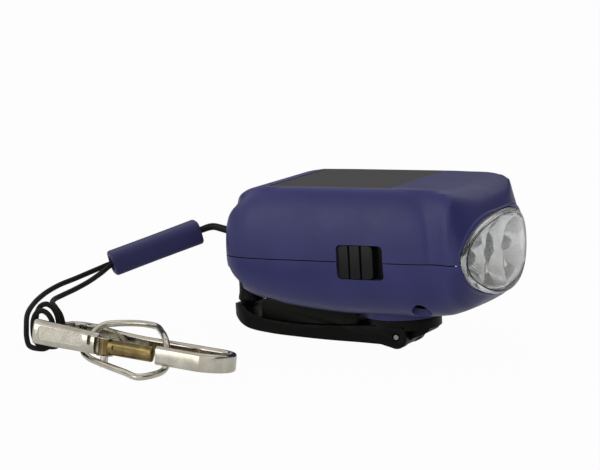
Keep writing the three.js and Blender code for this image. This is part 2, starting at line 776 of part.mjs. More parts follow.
function idlerGear() {
  const low = driveGearLow + gearThickness + gearStep;
  const pinion = gear(pinionTeeth, idlerX, driveGearLow, low, Math.PI / pinionTeeth, 0);
  const wheel = gear(wheelTeeth, idlerX, low, low + wheelThickness, 0, 0);
  const bore = cylinder(axleRadius + clearance, idlerX, 0, 0, partingHeight, roundSides / 2);
  return cut(pinion.add(wheel), bore);
}

function idlerAxle() {
  const low = partingHeight - bellyDrop + wall + clearance;
  return cylinder(axleRadius, idlerX, 0, low, plateLow - clearance, roundSides / 2);
}

function generatorRotor() {
  const low = driveGearLow + gearThickness + gearStep / 2;
  const pinion = gear(pinionTeeth, generatorX, low, plateLow - gearStep, Math.PI / pinionTeeth, 0);
  const shaftEnd = plateLow + plateThickness + canHeight / 2;
  const shaft = cylinder(axleRadius, generatorX, 0, low, shaftEnd, roundSides / 2);
  const magnetLow = plateLow + plateThickness + magnetGap;
  return union(pinion, shaft, cylinder(magnetRadius, generatorX, 0, magnetLow, magnetLow + magnetThickness));
}

function generatorCan() {
  const low = plateLow + plateThickness + clearance;
  return cut(cylinder(canRadius, generatorX, 0, low, low + canHeight),
    cylinder(canRadius - canWall, generatorX, 0, low - overrun, low + canHeight - canWall));
}

function gearPlate() {
  const plate = box(plateRear, plateFront, -plateHalfWidth, plateHalfWidth,
    plateLow, plateLow + plateThickness);
  const shaftHole = cylinder(axleRadius + clearance * 2, generatorX, 0, 0, partingHeight, roundSides / 2);
  const postHoles = [-screwY[1], screwY[1]].map((y) => cylinder(screwPostRadius + wall / 2 + clearance,
    screwX[1], y, 0, partingHeight));
  return cut(plate, shaftHole, ...postHoles);
}

function battery() {
  const low = plateLow + plateThickness + clearance;
  return cylinder(batteryRadius, crankX - hubRadius, 0, low, low + batteryHeight);
}

function mainBoard() {
  let board = box(boardRear, boardFront, -boardHalfWidth, boardHalfWidth,
    boardLow, boardLow + boardThickness);
  for (const [x, y] of screwPlaces()) {
    board = board.subtract(cylinder(screwPostRadius + clearance, x, y,
      boardLow - overrun, boardLow + overrun));
  }
  return board;
}

function solarPanel() {
  const roofTop = partingHeight + roofRise;
  return box(panelFront - panelLength, panelFront, -panelWidth / 2, panelWidth / 2, roofTop - panelSeat,
    roofTop - panelSeat + panelThickness);
}

function shellScrew(x, y) {
  const headTop = screwSeat - clearance;
  return cylinder(screwHeadRadius, x, y, headTop - screwHeadThickness, headTop, roundSides / 2)
    .add(cylinder(screwShankRadius, x, y, headTop, partingHeight + screwReach, roundSides / 2));
}

function lanyardAnchor() {
  const low = partingHeight + clearance / 2;
  const top = partingHeight + anchorHalfHeight * 2 + clearance;
  return cylinder(anchorRadius, anchorX, 0, low, top, roundSides / 2);
}

// Lanyard.
// The cord's middle line: two strands side by side from the shell through the bead, and three turns
// round the end of the carabiner.
const cordPoints = [
  [-41.3, 1.25, 32.6], [-46, 1.25, 32.3], [-52, 1.7, 32.5], [-58.6, 3, 33.1], [-64.4, 4.1, 33.2],
  [-67.7, 0.7, 31.9], [-78.3, -10.6, 26.9], [-89.1, -22, 22.1], [-92.4, -27.8, 20.3],
  [-95.6, -35, 18.4], [-97.9, -42.5, 17], [-98.6, -50, 15.4], [-97.8, -57.5, 13.5], [-95.9, -64, 11.2],
  [-93.4, -68.2, 8], [-91.9, -70.2, 5], [-90.2, -71.2, 2.7], [-87, -71.2, 2.1], [-84.5, -69.8, 2.2],
  [-83, -68.3, 4.2], [-82.7, -67.7, 8], [-83.6, -67.5, 11.4], [-85.3, -67.4, 13.4],
  [-87.5, -67.3, 14.1], [-89.7, -67.2, 13.2], [-91.1, -67.1, 11], [-91.6, -67, 8], [-91.2, -67, 4.6],
  [-89.8, -66.9, 2.5], [-86.8, -66.7, 1.8], [-83.9, -66.5, 2.4], [-82.4, -66.1, 4.8], [-82, -65.7, 8.8],
  [-82.9, -65.4, 12.8], [-84.6, -65.3, 15.1], [-87, -65.2, 16], [-89.5, -65.1, 15.1],
  [-91.2, -65, 12.6], [-91.8, -64.9, 8.8], [-91.5, -64.8, 4.6], [-90, -64.6, 2.1], [-86.6, -64.4, 1.3],
  [-83.6, -64.2, 2.1], [-82.2, -63.8, 4.8], [-81.9, -63.4, 8.8], [-83, -63.1, 12.2],
  [-85.4, -62.4, 14.4], [-88.4, -60, 15.3], [-90.2, -56, 15.6], [-90.2, -51, 16.1],
  [-89.3, -44.5, 17.1], [-88.6, -37, 18.5], [-88.3, -30.5, 20.1], [-87.6, -24.3, 22.1],
  [-76.7, -12.6, 27], [-66.2, -0.9, 31.9], [-62.6, 1.5, 33.1], [-58, 0.4, 33], [-52, -1, 32.4],
  [-46, -1.25, 32.3], [-41.3, -1.25, 32.6],
];
const beadEnds = [[-67, 0, 31.8], [-88.8, -23.2, 22]];
// The wire link's middle line, seen from above, with the height of each corner.
const linkPoints = [
  [-68, -52.3, 8.9], [-60, -50.6, 9.4], [-52.5, -52.2, 9.6], [-46, -58.8, 9.7], [-41.5, -64.3, 9.7],
  [-38.3, -68.4, 8.8], [-36.9, -70.2, 6.2], [-36.4, -71, 3.4], [-36.3, -73.2, 1.5], [-36.6, -79.8, 1.2],
  [-39.2, -84.2, 1.2], [-46.5, -81, 1.2], [-57.5, -76, 1.3], [-67, -70.6, 1.3], [-72.2, -66, 2.2],
  [-73, -61.4, 5], [-72, -57.2, 7.8], [-70.6, -54.4, 8.7],
];

function tubeAlong(points, radius, sides, steps) {
  const path = new THREE.CatmullRomCurve3(points.map((p) => new THREE.Vector3(...p)), false, 'centripetal');
  const ring = [];
  for (let i = 0; i < sides; i++) {
    const a = (2 * Math.PI * (i + 0.5)) / sides;
    ring.push(new THREE.Vector2(radius * Math.cos(a), radius * Math.sin(a)));
  }
  return solid(new THREE.ExtrudeGeometry(new THREE.Shape(ring), { steps, extrudePath: path }));
}

// A closed loop of wire, which has no ends to cap.
function wireLoop(points, radius, sides, steps) {
  const path = new THREE.CatmullRomCurve3(points.map((p) => new THREE.Vector3(...p)), true, 'centripetal');
  const frames = path.computeFrenetFrames(steps, true);
  const vertices = [];
  const faces = [];
  for (let i = 0; i < steps; i++) {
    const at = path.getPointAt(i / steps);
    for (let k = 0; k < sides; k++) {
      const a = (2 * Math.PI * (k + 0.5)) / sides;
      const out = frames.normals[i].clone().multiplyScalar(radius * Math.cos(a))
        .addScaledVector(frames.binormals[i], radius * Math.sin(a));
      vertices.push(at.x + out.x, at.y + out.y, at.z + out.z);
      const b = i * sides + k;
      const c = i * sides + ((k + 1) % sides);
      const d = ((i + 1) % steps) * sides + k;
      const e = ((i + 1) % steps) * sides + ((k + 1) % sides);
      faces.push(b, e, c, b, d, e);
    }
  }
  const g = new THREE.BufferGeometry();
  g.setAttribute('position', new THREE.Float32BufferAttribute(vertices, 3));
  g.setIndex(faces);
  const made = solid(g);
  if (made.volume() > 0) return made;
  g.setIndex(faces.map((v, i) => faces[i - (i % 3) + (2 - (i % 3))]));
  return solid(g);
}

function bead() {
  const [a, b] = beadEnds.map((p) => new THREE.Vector3(...p));
  const w = beadHalfWidth;
  const c = beadChamfer;
  const outline = [
    [w, -w + c], [w, w - c], [w - c, w], [-w + c, w], [-w, w - c], [-w, -w + c], [-w + c, -w], [w - c, -w],
  ];
  const shrunk = outline.map(([x, y]) => [x * (1 - c / w), y * (1 - c / w)]);
  const rings = [[0, shrunk], [c, outline], [beadLength - c, outline], [beadLength, shrunk]]
    .map(([z, ring]) => ring.map(([x, y]) => [x, y, z]));
  let made = loft(rings);
  made = made.subtract(cylinder(beadBore, 0, 0, -overrun, beadLength + overrun, roundSides));
  const along = b.clone().sub(a).normalize();
  const side = new THREE.Vector3(0, 0, 1).cross(along).normalize();
  const up = along.clone().cross(side);
  const place = new THREE.Matrix4().makeBasis(side, up, along).setPosition(a);
  return { made, place };
}

function ringOutline(inset) {
  const t = inset;
  const r = ringWaist / 2 - t;
  const c = ringLength - ringWaist / 2;
  const points = [[noseU, t], [c, t]];
  for (let i = 1; i < cornerSteps * 2; i++) {
    const a = -Math.PI / 2 + (Math.PI * i) / (cornerSteps * 2);
    points.push([c + r * Math.cos(a), ringWaist / 2 + r * Math.sin(a)]);
  }
  points.push([c, ringWaist - t]);
  for (const [along, across, tAlong, tAcross] of ringFarShares) {
    points.push([ringLength * along + t * tAlong, ringWidth * across - t * tAcross]);
  }
  points.push([pivotU, t]);
  return points;
}

// The carabiner's own frame: u along its length, v away from its near side, and up.
function carabinerBody() {
  const outer = ringOutline(0);
  const inner = ringOutline(railThickness).reverse();
  const rail = prismUp(outer.concat(inner), 0, railHeight);
  const barStart = ringLength * barStartShare;
  const bar = prismAcross([[barStart, 0], [barLength, 0], [barLength, barEndHeight], [barStart, barHeight]],
    railThickness - barThickness, railThickness);
  const ears = cylinder(railThickness, pivotU, railThickness / 2, 0, railHeight, roundSides / 2);
  const gateSlot = box(pivotU - railThickness - clearance, pivotU + railThickness * 2,
    -overrun, railThickness + overrun,
    (railHeight - gateHeight) / 2 - clearance, (railHeight + gateHeight) / 2 + clearance);
  return cut(union(rail, bar, ears), gateSlot, pivotHole());
}

function carabinerGate() {
  const v = railThickness / 2;
  const z0 = (railHeight - gateHeight) / 2;
  const bar = box(pivotU, pivotU + gateLength, v - gateThickness / 2, v + gateThickness / 2,
    z0, z0 + gateHeight);
  const eye = cylinder(gateThickness * gateEyeShare, pivotU, v, z0, z0 + gateHeight, roundSides / 2);
  return cut(bar.add(eye), pivotHole());
}

function pivotHole() {
  return cylinder(pivotRadius + clearance, pivotU, railThickness / 2, -overrun, railHeight + overrun,
    roundSides / 2);
}

function gatePin() {
  return cylinder(pivotRadius, pivotU, railThickness / 2, clearance, railHeight - clearance, roundSides / 2);
}

// Assembly.
const blue = surface(0x3e3e6e, 0.42);
const black = surface(0x1e1e1c, 0.5);
const greyPlastic = surface(0x4a4a4c, 0.55);
const steel = surface(0x8f8f8f, 0.3, 1);
const chrome = surface(0xdcdcd6, 0.08, 1);
const nickel = surface(0xd8d4c8, 0.16, 1);
const brass = surface(0xa98d4b, 0.35, 1);
const clear = surface(0xf2f4f4, 0.05, 0, { transparent: true, opacity: 0.35 });
const ledClear = surface(0xe8eaf0, 0.1, 0, { transparent: true, opacity: 0.7 });
const solarCell = surface(0x565452, 0.35);
const boardGreen = surface(0x2f5b3a, 0.6);
const nylon = surface(0xd9d4c4, 0.6);
const cellWrap = surface(0x6b8a4a, 0.4);
const cordBlack = surface(0x20200f, 0.85);

const root = new THREE.Group();
const flashlight = new THREE.Group();
flashlight.position.set(pinPlaceX, 0, pinHeight);
flashlight.rotation.y = -tilt;
const level = new THREE.Group();
level.position.set(-pinX, 0, -pinHeight);
flashlight.add(level);
root.add(flashlight);

addSolid(level, 'upper_shell', upperShell(), blue);
addSolid(level, 'lower_shell', lowerShell(), blue);
addSolid(level, 'solar_panel', solarPanel(), solarCell);
addSolid(level, 'front_lens', frontLens(), clear);
addSolid(level, 'reflector', reflector(), chrome);
addSolid(level, 'led_board', ledBoard(), boardGreen);
[-1, 0, 1].forEach((side, i) => addSolid(level, `led_${i + 1}`, led(side * cupPitch), ledClear));
addSolid(level, 'switch_slider', switchSlider(), black);
addSolid(level, 'switch_body', switchBody(), greyPlastic);
addSolid(level, 'main_board', mainBoard(), boardGreen);
addSolid(level, 'battery_pack', battery(), cellWrap);
addSolid(level, 'gear_plate', gearPlate(), greyPlastic);
addSolid(level, 'drive_gear', driveGear(), nylon);
addSolid(level, 'idler_gear', idlerGear(), nylon);
addSolid(level, 'idler_axle', idlerAxle(), steel);
addSolid(level, 'generator_can', generatorCan(), steel);
addSolid(level, 'generator_rotor', generatorRotor(), brass);
addSolid(level, 'crank_shaft', crankShaft(), steel);
addSolid(level, 'crank_rotor', crankRotor(), black);
addSolid(level, 'crank_arm', crankArm(), black);
addSolid(level, 'hinge_pin', hingePin(), steel);
addSolid(level, 'crank_knob', knob(), black);
addSolid(level, 'knob_pin', knobPin(), black);
addSolid(level, 'lanyard_anchor', lanyardAnchor(), steel);
screwPlaces().forEach(([x, y], i) => addSolid(level, `shell_screw_${i + 1}`, shellScrew(x, y), steel));

addSolid(root, 'lanyard_cord', tubeAlong(cordPoints, cordRadius, cordSides, cordSteps), cordBlack);
const { made: beadSolid, place: beadPlace } = bead();
const beadGroup = new THREE.Group();
beadGroup.applyMatrix4(beadPlace);
root.add(beadGroup);
addSolid(beadGroup, 'lanyard_bead', beadSolid, blue);

const carabiner = new THREE.Group();
carabiner.position.set(...ringNear);
carabiner.rotation.order = 'ZYX';
carabiner.rotation.set(
  ...[-railTilt, railPitch, ringTurn].map((degrees) => THREE.MathUtils.degToRad(degrees)));
root.add(carabiner);
addSolid(carabiner, 'carabiner_body', carabinerBody(), nickel);
addSolid(carabiner, 'carabiner_gate', carabinerGate(), nickel);
addSolid(carabiner, 'gate_pin', gatePin(), nickel);
addSolid(root, 'wire_link', wireLoop(linkPoints, wireRadius, wireSides, wireSteps), nickel);

export default root;
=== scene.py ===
import math

import bmesh
import bpy
import numpy as np
from mathutils import Matrix, Vector


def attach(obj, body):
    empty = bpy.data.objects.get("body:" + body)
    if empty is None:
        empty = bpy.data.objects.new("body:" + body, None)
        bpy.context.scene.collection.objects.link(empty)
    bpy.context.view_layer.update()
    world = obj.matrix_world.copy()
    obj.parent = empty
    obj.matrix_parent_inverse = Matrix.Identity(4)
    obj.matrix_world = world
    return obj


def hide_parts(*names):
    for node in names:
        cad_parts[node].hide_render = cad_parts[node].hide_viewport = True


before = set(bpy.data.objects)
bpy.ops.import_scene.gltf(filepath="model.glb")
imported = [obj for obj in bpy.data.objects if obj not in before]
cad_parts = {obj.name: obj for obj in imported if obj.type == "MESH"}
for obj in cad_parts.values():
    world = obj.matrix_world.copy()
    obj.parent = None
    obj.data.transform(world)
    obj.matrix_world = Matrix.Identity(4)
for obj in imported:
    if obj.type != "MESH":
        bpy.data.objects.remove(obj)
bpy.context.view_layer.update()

MM = 0.001

# The flashlight's own level frame, in millimetres.
TILT = math.radians(3.5)
PIN_X, PIN_Z, PIN_PLACE_X = 10.1, 4.0, 14.0485


def level_to_row(p):
    """Points of the level frame, in millimetres, as points of the row frame, in metres."""
    p = np.asarray(p, float)
    x, z = p[..., 0] - PIN_X, p[..., 2] - PIN_Z
    c, s = math.cos(TILT), math.sin(TILT)
    return np.stack([PIN_PLACE_X + c * x - s * z, p[..., 1], PIN_Z + s * x + c * z], axis=-1) * MM


def row_mm(p):
    return np.asarray(p, float) * MM


# Camera.
def add_camera():
    az, el, distance = math.radians(28.5), math.radians(10.82), 0.720
    target = Vector((-0.00948, -0.03148, 0.04081))
    back = Vector((math.sin(az) * math.cos(el), -math.cos(az) * math.cos(el), math.sin(el)))
    data = bpy.data.cameras.new("camera")
    data.sensor_fit, data.sensor_width, data.lens = "HORIZONTAL", 36, 132
    data.clip_start, data.clip_end = 0.01, 50
    cam = bpy.data.objects.new("camera", data)
    cam.location = target + back * distance
    cam.rotation_euler = (-back).to_track_quat("-Z", "Y").to_euler()
    bpy.context.scene.collection.objects.link(cam)
    bpy.context.scene.camera = cam


add_camera()


# Mesh helpers.
def new_object(name, verts, faces, material, place=row_mm):
    mesh = bpy.data.meshes.new(name)
    mesh.from_pydata([tuple(v) for v in place(verts)], [], [tuple(int(i) for i in f) for f in faces])
    mesh.update()
    mesh.materials.append(material)
    obj = bpy.data.objects.new(name, mesh)
    bpy.context.scene.collection.objects.link(obj)
    return obj


def tidy(obj, angle=35):
    """Faces point out, and edges are smooth below the angle."""
    bm = bmesh.new()
    bm.from_mesh(obj.data)
    bmesh.ops.remove_doubles(bm, verts=bm.verts, dist=2e-6)
    bmesh.ops.recalc_face_normals(bm, faces=bm.faces)
    limit = math.radians(angle)
    for f in bm.faces:
        f.smooth = True
    for e in bm.edges:
        e.smooth = len(e.link_faces) == 2 and e.calc_face_angle(0) < limit
    bm.to_mesh(obj.data)
    bm.free()
    return obj


def outward(obj):
    bm = bmesh.new()
    bm.from_mesh(obj.data)
    bmesh.ops.recalc_face_normals(bm, faces=bm.faces)
    bm.to_mesh(obj.data)
    bm.free()
    return obj


def applied(obj):
    dg = bpy.context.evaluated_depsgraph_get()
    made = bpy.data.meshes.new_from_object(obj.evaluated_get(dg))
    old = obj.data
    obj.modifiers.clear()
    obj.data = made
    bpy.data.meshes.remove(old)
    return obj


def boolean(obj, tool, operation="DIFFERENCE"):
    m = obj.modifiers.new("boolean", "BOOLEAN")
    m.object, m.operation, m.solver = outward(tool), operation, "EXACT"
    applied(obj)
    bpy.data.objects.remove(tool)
    return obj


def bevelled(obj, width, segments=3, angle=35):
    m = obj.modifiers.new("bevel", "BEVEL")
    m.width, m.segments = width * MM, segments
    m.limit_method, m.angle_limit = "ANGLE", math.radians(angle)
    return applied(obj)


def dress(obj, material):
    obj.data.materials.clear()
    obj.data.materials.append(material)


def piece(obj, body, slot, *nodes, angle=None):
    """Says what the object rides on and stands for. The slot is not used. With an angle, it is tidied
    first.
    """
    if angle:
        tidy(obj, angle)
    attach(obj, body)
    if nodes:
        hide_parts(*nodes)
    return obj


def full_turn(sides):
    return np.arange(sides) * 2 * math.pi / sides


def grid_faces(rows, columns, ring=False):
    """Faces between closed rows of points. In a ring, the last row also meets the first."""
    faces = []
    for r in range(rows if ring else rows - 1):
        for c in range(columns):
            d, s = (c + 1) % columns, (r + 1) % rows
            faces.append((r * columns + c, r * columns + d, s * columns + d, s * columns + c))
    return faces


def loft(rings):
    """Closed rings of points, joined, with a flat cap at each end."""
    rings = np.asarray(rings, float)
    rows, columns = rings.shape[:2]
    faces = grid_faces(rows, columns)
    faces.append(tuple(range(columns - 1, -1, -1)))
    faces.append(tuple(range((rows - 1) * columns, rows * columns)))
    return rings.reshape(-1, 3), faces


def turned(name, profile, sides, at, material, axis="Z", place=level_to_row):
    """(radius, along) pairs turned about an axis. A profile that starts and ends on the axis is closed."""
    verts = np.array([[r * math.cos(a), r * math.sin(a), z] for r, z in profile for a in full_turn(sides)])
    verts = verts[:, {"X": (2, 0, 1), "Y": (0, 2, 1), "Z": (0, 1, 2)}[axis]] + at
    return new_object(name, verts, grid_faces(len(profile), sides), material, place)


def rounded(corners, radius, steps=5):
    """A polygon's corners, rounded, as a list of 2-D points."""
    out, n = [], len(corners)
    pts = [np.array(c, float) for c in corners]
    for i in range(n):
        a, b, c = pts[i - 1], pts[i], pts[(i + 1) % n]
        u, v = (a - b) / np.linalg.norm(a - b), (c - b) / np.linalg.norm(c - b)
        r = min(radius, 0.45 * np.linalg.norm(a - b), 0.45 * np.linalg.norm(c - b))
        p, q = b + u * r, b + v * r
        for k in range(steps + 1):
            t = k / steps
            out.append((1 - t) ** 2 * p + 2 * t * (1 - t) * b + t ** 2 * q)
    return out


def prism(name, outline, axis, low, high, material, place=level_to_row):
    """A 2-D outline made thick along an axis of its frame."""
    rings = [np.insert(np.asarray(outline, float), "XYZ".index(axis), end, axis=1) for end in (low, high)]
    return outward(new_object(name, *loft(rings), material, place))


def spline(points, count, closed=False):
    """Centripetal Catmull-Rom points through given ones, evenly spaced."""
    p = np.asarray(points, float)
    p = np.vstack([p[-1], p, p[0], p[1]]) if closed else np.vstack([2 * p[0] - p[1], p, 2 * p[-1] - p[-2]])
    out = []
    for i in range(len(p) - 3):
        a, b, c, d = p[i:i + 4]
        t = [0.0]
        for u, v in ((a, b), (b, c), (c, d)):
            t.append(t[-1] + max(np.linalg.norm(v - u), 1e-9) ** 0.5)
        s = np.linspace(t[1], t[2], 24, endpoint=False)[:, None]

        def between(first, last, low, high):
            return ((t[high] - s) * first + (s - t[low]) * last) / (t[high] - t[low])

        middle = between(b, c, 1, 2)
        before, after = between(a, b, 0, 1), between(c, d, 2, 3)
        out.extend(between(between(before, middle, 0, 2), between(middle, after, 1, 3), 1, 2))
    out.append(p[1] if closed else p[-2])
    out = np.array(out)
    along = np.concatenate([[0], np.cumsum(np.linalg.norm(np.diff(out, axis=0), axis=1))])
    want = np.linspace(0, along[-1], count, endpoint=not closed)
    return np.stack([np.interp(want, along, out[:, k]) for k in range(out.shape[1])], axis=1)


def sweep(path, radius, sides, closed=False):
    """A round tube along a path."""
    n = len(path)
    ahead = np.roll(path, -1, axis=0) - np.roll(path, 1, axis=0)
    if not closed:
        ahead[0], ahead[-1] = path[1] - path[0], path[-1] - path[-2]
    ahead /= np.linalg.norm(ahead, axis=1, keepdims=True)
    normal = np.cross(ahead[0], [0, 0, 1.0])
    normals = []
    for t in ahead:
        normal = normal - (normal @ t) * t
        normal /= np.linalg.norm(normal)
        normals.append(normal)
    normals = np.array(normals)
    if closed:
        # The twist left where the path meets itself is spread along it.
        last = normals[-1] - (normals[-1] @ ahead[0]) * ahead[0]
        last /= np.linalg.norm(last)
        off = math.atan2(last @ np.cross(ahead[0], normals[0]), last @ normals[0])
        turn = (-off * np.arange(n) / n)[:, None]
        normals = normals * np.cos(turn) + np.cross(ahead, normals) * np.sin(turn)
    binormals = np.cross(ahead, normals)
    a = full_turn(sides)[:, None]
    rings = path[:, None] + radius * (np.cos(a) * normals[:, None] + np.sin(a) * binormals[:, None])
    return (rings.reshape(-1, 3), grid_faces(n, sides, True)) if closed else loft(rings)


# Materials.
def linear(code):
    """An sRGB hex colour as a linear one."""
    out = []
    for i in (1, 3, 5):
        v = int(code[i:i + 2], 16) / 255
        out.append(v / 12.92 if v <= 0.04045 else ((v + 0.055) / 1.055) ** 2.4)
    return (*out, 1.0)


def node(tree, kind, settings=None, **inputs):
    """Adds a node with its settings. Its inputs, by name or as i and a place, are set or linked."""
    made = tree.nodes.new("ShaderNode" + kind)
    for key, value in (settings or {}).items():
        setattr(made, key, value)
    for key, value in inputs.items():
        by_place = key[0] == "i" and key[1:].isdigit()
        socket = made.inputs[int(key[1:])] if by_place else made.inputs[key.replace("_", " ")]
        if isinstance(value, bpy.types.NodeSocket):
            tree.links.new(value, socket)
        else:
            socket.default_value = value
    return made


RGBA = {"data_type": "RGBA"}


def new_material(name):
    """A bare material, and the object's coordinates in millimetres."""
    made = bpy.data.materials.new(name)
    made.use_nodes = True
    tree = made.node_tree
    tree.nodes.clear()
    coords = node(tree, "TexCoord").outputs["Object"]
    mm = node(tree, "VectorMath", {"operation": "SCALE"}, i0=coords, Scale=1 / MM).outputs[0]
    return made, tree, mm


def two_tone(tree, dark, light, value, low, high):
    """A colour that goes from dark to light as a value goes from low to high."""
    tone = node(tree, "MapRange", Value=value, From_Min=low, From_Max=high).outputs[0]
    return node(tree, "Mix", RGBA, i0=tone, i6=linear(dark), i7=linear(light)).outputs[2]


def moulded_plastic(name, dark, light, roughness, grain_mm=0.2, relief_mm=0.012, gloss=0.35, edge_tint=None):
    """A moulded skin: grain from the mould spreads the highlights, the melt's flow changes the shade
    slowly, and hands have rubbed patches of it smoother. An edge tint lightens sharp edges in patches."""
    made, tree, mm = new_material(name)
    flow = node(tree, "TexNoise", Vector=mm, Scale=1 / 14, Detail=2).outputs[0]
    colour = two_tone(tree, dark, light, flow, 0.3, 0.7)
    rubbed = node(tree, "TexNoise", Vector=mm, Scale=1 / 3.5, Detail=4, Roughness=0.65).outputs[0]
    # Sharp edges are mixed towards a lighter colour, in patches.
    if edge_tint:
        sharp = node(tree, "NewGeometry").outputs["Pointiness"]
        edge = node(tree, "MapRange", Value=sharp, From_Min=0.53, From_Max=0.62).outputs[0]
        patchy = node(tree, "Math", {"operation": "MULTIPLY"}, i0=edge, i1=rubbed).outputs[0]
        colour = node(tree, "Mix", RGBA, i0=patchy, i6=colour, i7=linear(edge_tint)).outputs[2]
    rough = node(tree, "MapRange", Value=rubbed, From_Min=0.3, From_Max=0.7, To_Min=roughness - 0.05,
                 To_Max=roughness + 0.07).outputs[0]
    grain = node(tree, "TexNoise", Vector=mm, Scale=1 / grain_mm, Detail=2, Roughness=0.6).outputs[0]
    relief = node(tree, "Bump", Height=grain, Distance=relief_mm * MM, Strength=0.6).outputs[0]
    shader = node(tree, "BsdfPrincipled", Base_Color=colour, Roughness=rough, Normal=relief, IOR=1.5,
                  Specular_IOR_Level=gloss)
    node(tree, "OutputMaterial", Surface=shader.outputs[0])
    return made


def plated_metal(name, dark, light, roughness, wave_mm=5.0, relief_mm=0.03):
    """A plated or polished skin: it mirrors the room in soft waves, and fine handling marks dull it
    in patches. The tone changes slowly where the plating is thinner."""
    made, tree, mm = new_material(name)
    wave = node(tree, "TexNoise", Vector=mm, Scale=1 / wave_mm, Detail=2).outputs[0]
    colour = two_tone(tree, dark, light, wave, 0.35, 0.65)
    marks = node(tree, "TexNoise", Vector=mm, Scale=1 / 0.6, Detail=4, Roughness=0.7).outputs[0]
    rough = node(tree, "MapRange", Value=marks, From_Min=0.35, From_Max=0.7, To_Min=roughness * 0.7,
                 To_Max=roughness * 1.5).outputs[0]
    relief = node(tree, "Bump", Height=wave, Distance=relief_mm * MM, Strength=0.35).outputs[0]
    shader = node(tree, "BsdfPrincipled", Base_Color=colour, Roughness=rough, Normal=relief, Metallic=1.0)
    node(tree, "OutputMaterial", Surface=shader.outputs[0])
    return made


def clear_moulding(name, tint, haze, ior):
    """Clear plastic: it bends what is behind it, and its edges gather bright and dark lines. Lamps
    shine straight through it on what it covers."""
    made, tree, mm = new_material(name)
    cloud = node(tree, "TexNoise", Vector=mm, Scale=1 / 2.2, Detail=3).outputs[0]
    rough = node(tree, "MapRange", Value=cloud, To_Min=haze * 0.6, To_Max=haze * 1.4).outputs[0]
    solid = node(tree, "BsdfPrincipled", Base_Color=linear(tint), Roughness=rough, IOR=ior,
                 Transmission_Weight=1.0)
    through = node(tree, "BsdfTransparent", Color=linear(tint))
    shadow = node(tree, "LightPath").outputs["Is Shadow Ray"]
    mixed = node(tree, "MixShader", Fac=shadow, i1=solid.outputs[0], i2=through.outputs[0])
    node(tree, "OutputMaterial", Surface=mixed.outputs[0])
    return made


def solar_laminate(name):
    """Silicon cells under a matt film: dark crystals, a fine finger line every 1.6 mm across and a
    wider collector every 9 mm. The film keeps the flat view over it from turning white."""
    made, tree, mm = new_material(name)
    place = node(tree, "SeparateXYZ", Vector=mm)
    lines = []
    for side, pitch_mm, width_mm in (("X", 9.0, 0.16), ("Y", 1.6, 0.09)):
        saw = node(tree, "Math", {"operation": "PINGPONG"}, i0=place.outputs[side], i1=pitch_mm / 2)
        lines.append(node(tree, "MapRange", Value=saw.outputs[0], From_Max=width_mm, To_Min=0.35, To_Max=0))
    both = node(tree, "Math", {"operation": "MAXIMUM"}, i0=lines[0].outputs[0], i1=lines[1].outputs[0])
    crystal = node(tree, "TexNoise", Vector=mm, Scale=1 / 1.1, Detail=3, Roughness=0.6).outputs[0]
    cell = two_tone(tree, "#3b3a3d", "#434245", crystal, 0.3, 0.7)
    colour = node(tree, "Mix", RGBA, i0=both.outputs[0], i6=cell, i7=linear("#5e5c5f")).outputs[2]
    relief = node(tree, "Bump", Height=crystal, Distance=0.01 * MM, Strength=0.3).outputs[0]
    rough = node(tree, "MapRange", Value=crystal, To_Min=0.42, To_Max=0.5).outputs[0]
    shader = node(tree, "BsdfPrincipled", Base_Color=colour, Roughness=rough, Normal=relief, IOR=1.5,
                  Specular_IOR_Level=0.12)
    node(tree, "OutputMaterial", Surface=shader.outputs[0])
    return made


def braided_nylon(name, dark, light):
    """A tight braid of nylon strands, 16 round the cord and 1.1 mm from pick to pick, with a thin
    fuzz that softens the highlights. The strands follow the tube's own texture directions."""
    made, tree, mm = new_material(name)
    along = node(tree, "SeparateXYZ", Vector=node(tree, "UVMap").outputs[0])
    strands = []
    for lean in (0.9, -0.9):
        turn = node(tree, "Math", {"operation": "MULTIPLY_ADD"}, i0=along.outputs["Y"], i1=lean,
                    i2=along.outputs["X"])
        angle = node(tree, "Math", {"operation": "MULTIPLY"}, i0=turn.outputs[0], i1=2 * math.pi)
        strands.append(node(tree, "Math", {"operation": "SINE"}, i0=angle.outputs[0]).outputs[0])
    weave = node(tree, "Math", {"operation": "MULTIPLY"}, i0=strands[0], i1=strands[1]).outputs[0]
    height = node(tree, "MapRange", Value=weave, From_Min=-1.0).outputs[0]
    # Painted shade: the colour follows the weave's height, darker in the grooves between the strands.
    colour = node(tree, "Mix", RGBA, i0=height, i6=linear(dark), i7=linear(light)).outputs[2]
    fuzz = node(tree, "TexNoise", Vector=mm, Scale=1 / 0.12, Detail=2).outputs[0]
    rough = node(tree, "MapRange", Value=fuzz, To_Min=0.65, To_Max=0.9).outputs[0]
    fine = node(tree, "Bump", Height=fuzz, Distance=0.03 * MM, Strength=0.4).outputs[0]
    relief = node(tree, "Bump", Height=height, Distance=0.12 * MM, Strength=0.8, Normal=fine).outputs[0]
    shader = node(tree, "BsdfPrincipled", Base_Color=colour, Roughness=rough, Normal=relief, IOR=1.5,
                  Specular_IOR_Level=0.25, Sheen_Weight=0.06)
    node(tree, "OutputMaterial", Surface=shader.outputs[0])
    return made


# The shells' ABS is indigo, with a satin grain. The crank's is black and a little coarser.
BLUE = moulded_plastic("indigo moulded ABS", "#2f3067", "#35366f", 0.37, 0.2, 0.014, 0.3, "#52547c")
BLACK = moulded_plastic("black moulded ABS", "#070706", "#0c0c0b", 0.42, 0.2, 0.02, 0.1, "#1c1c1a")
# Acetal is slippery and a touch glossier, so the slider shows soft lights along its ribs.
SLIDER_BLACK = moulded_plastic("black moulded acetal", "#101011", "#18181a", 0.36, 0.15, 0.01, 0.2)
# The bead's rubber is matt, and its bloom makes it a little duller than the shells.
RUBBER = moulded_plastic("indigo moulded rubber", "#2a2b5a", "#323362", 0.5, 0.3, 0.03, 0.3, "#44466c")
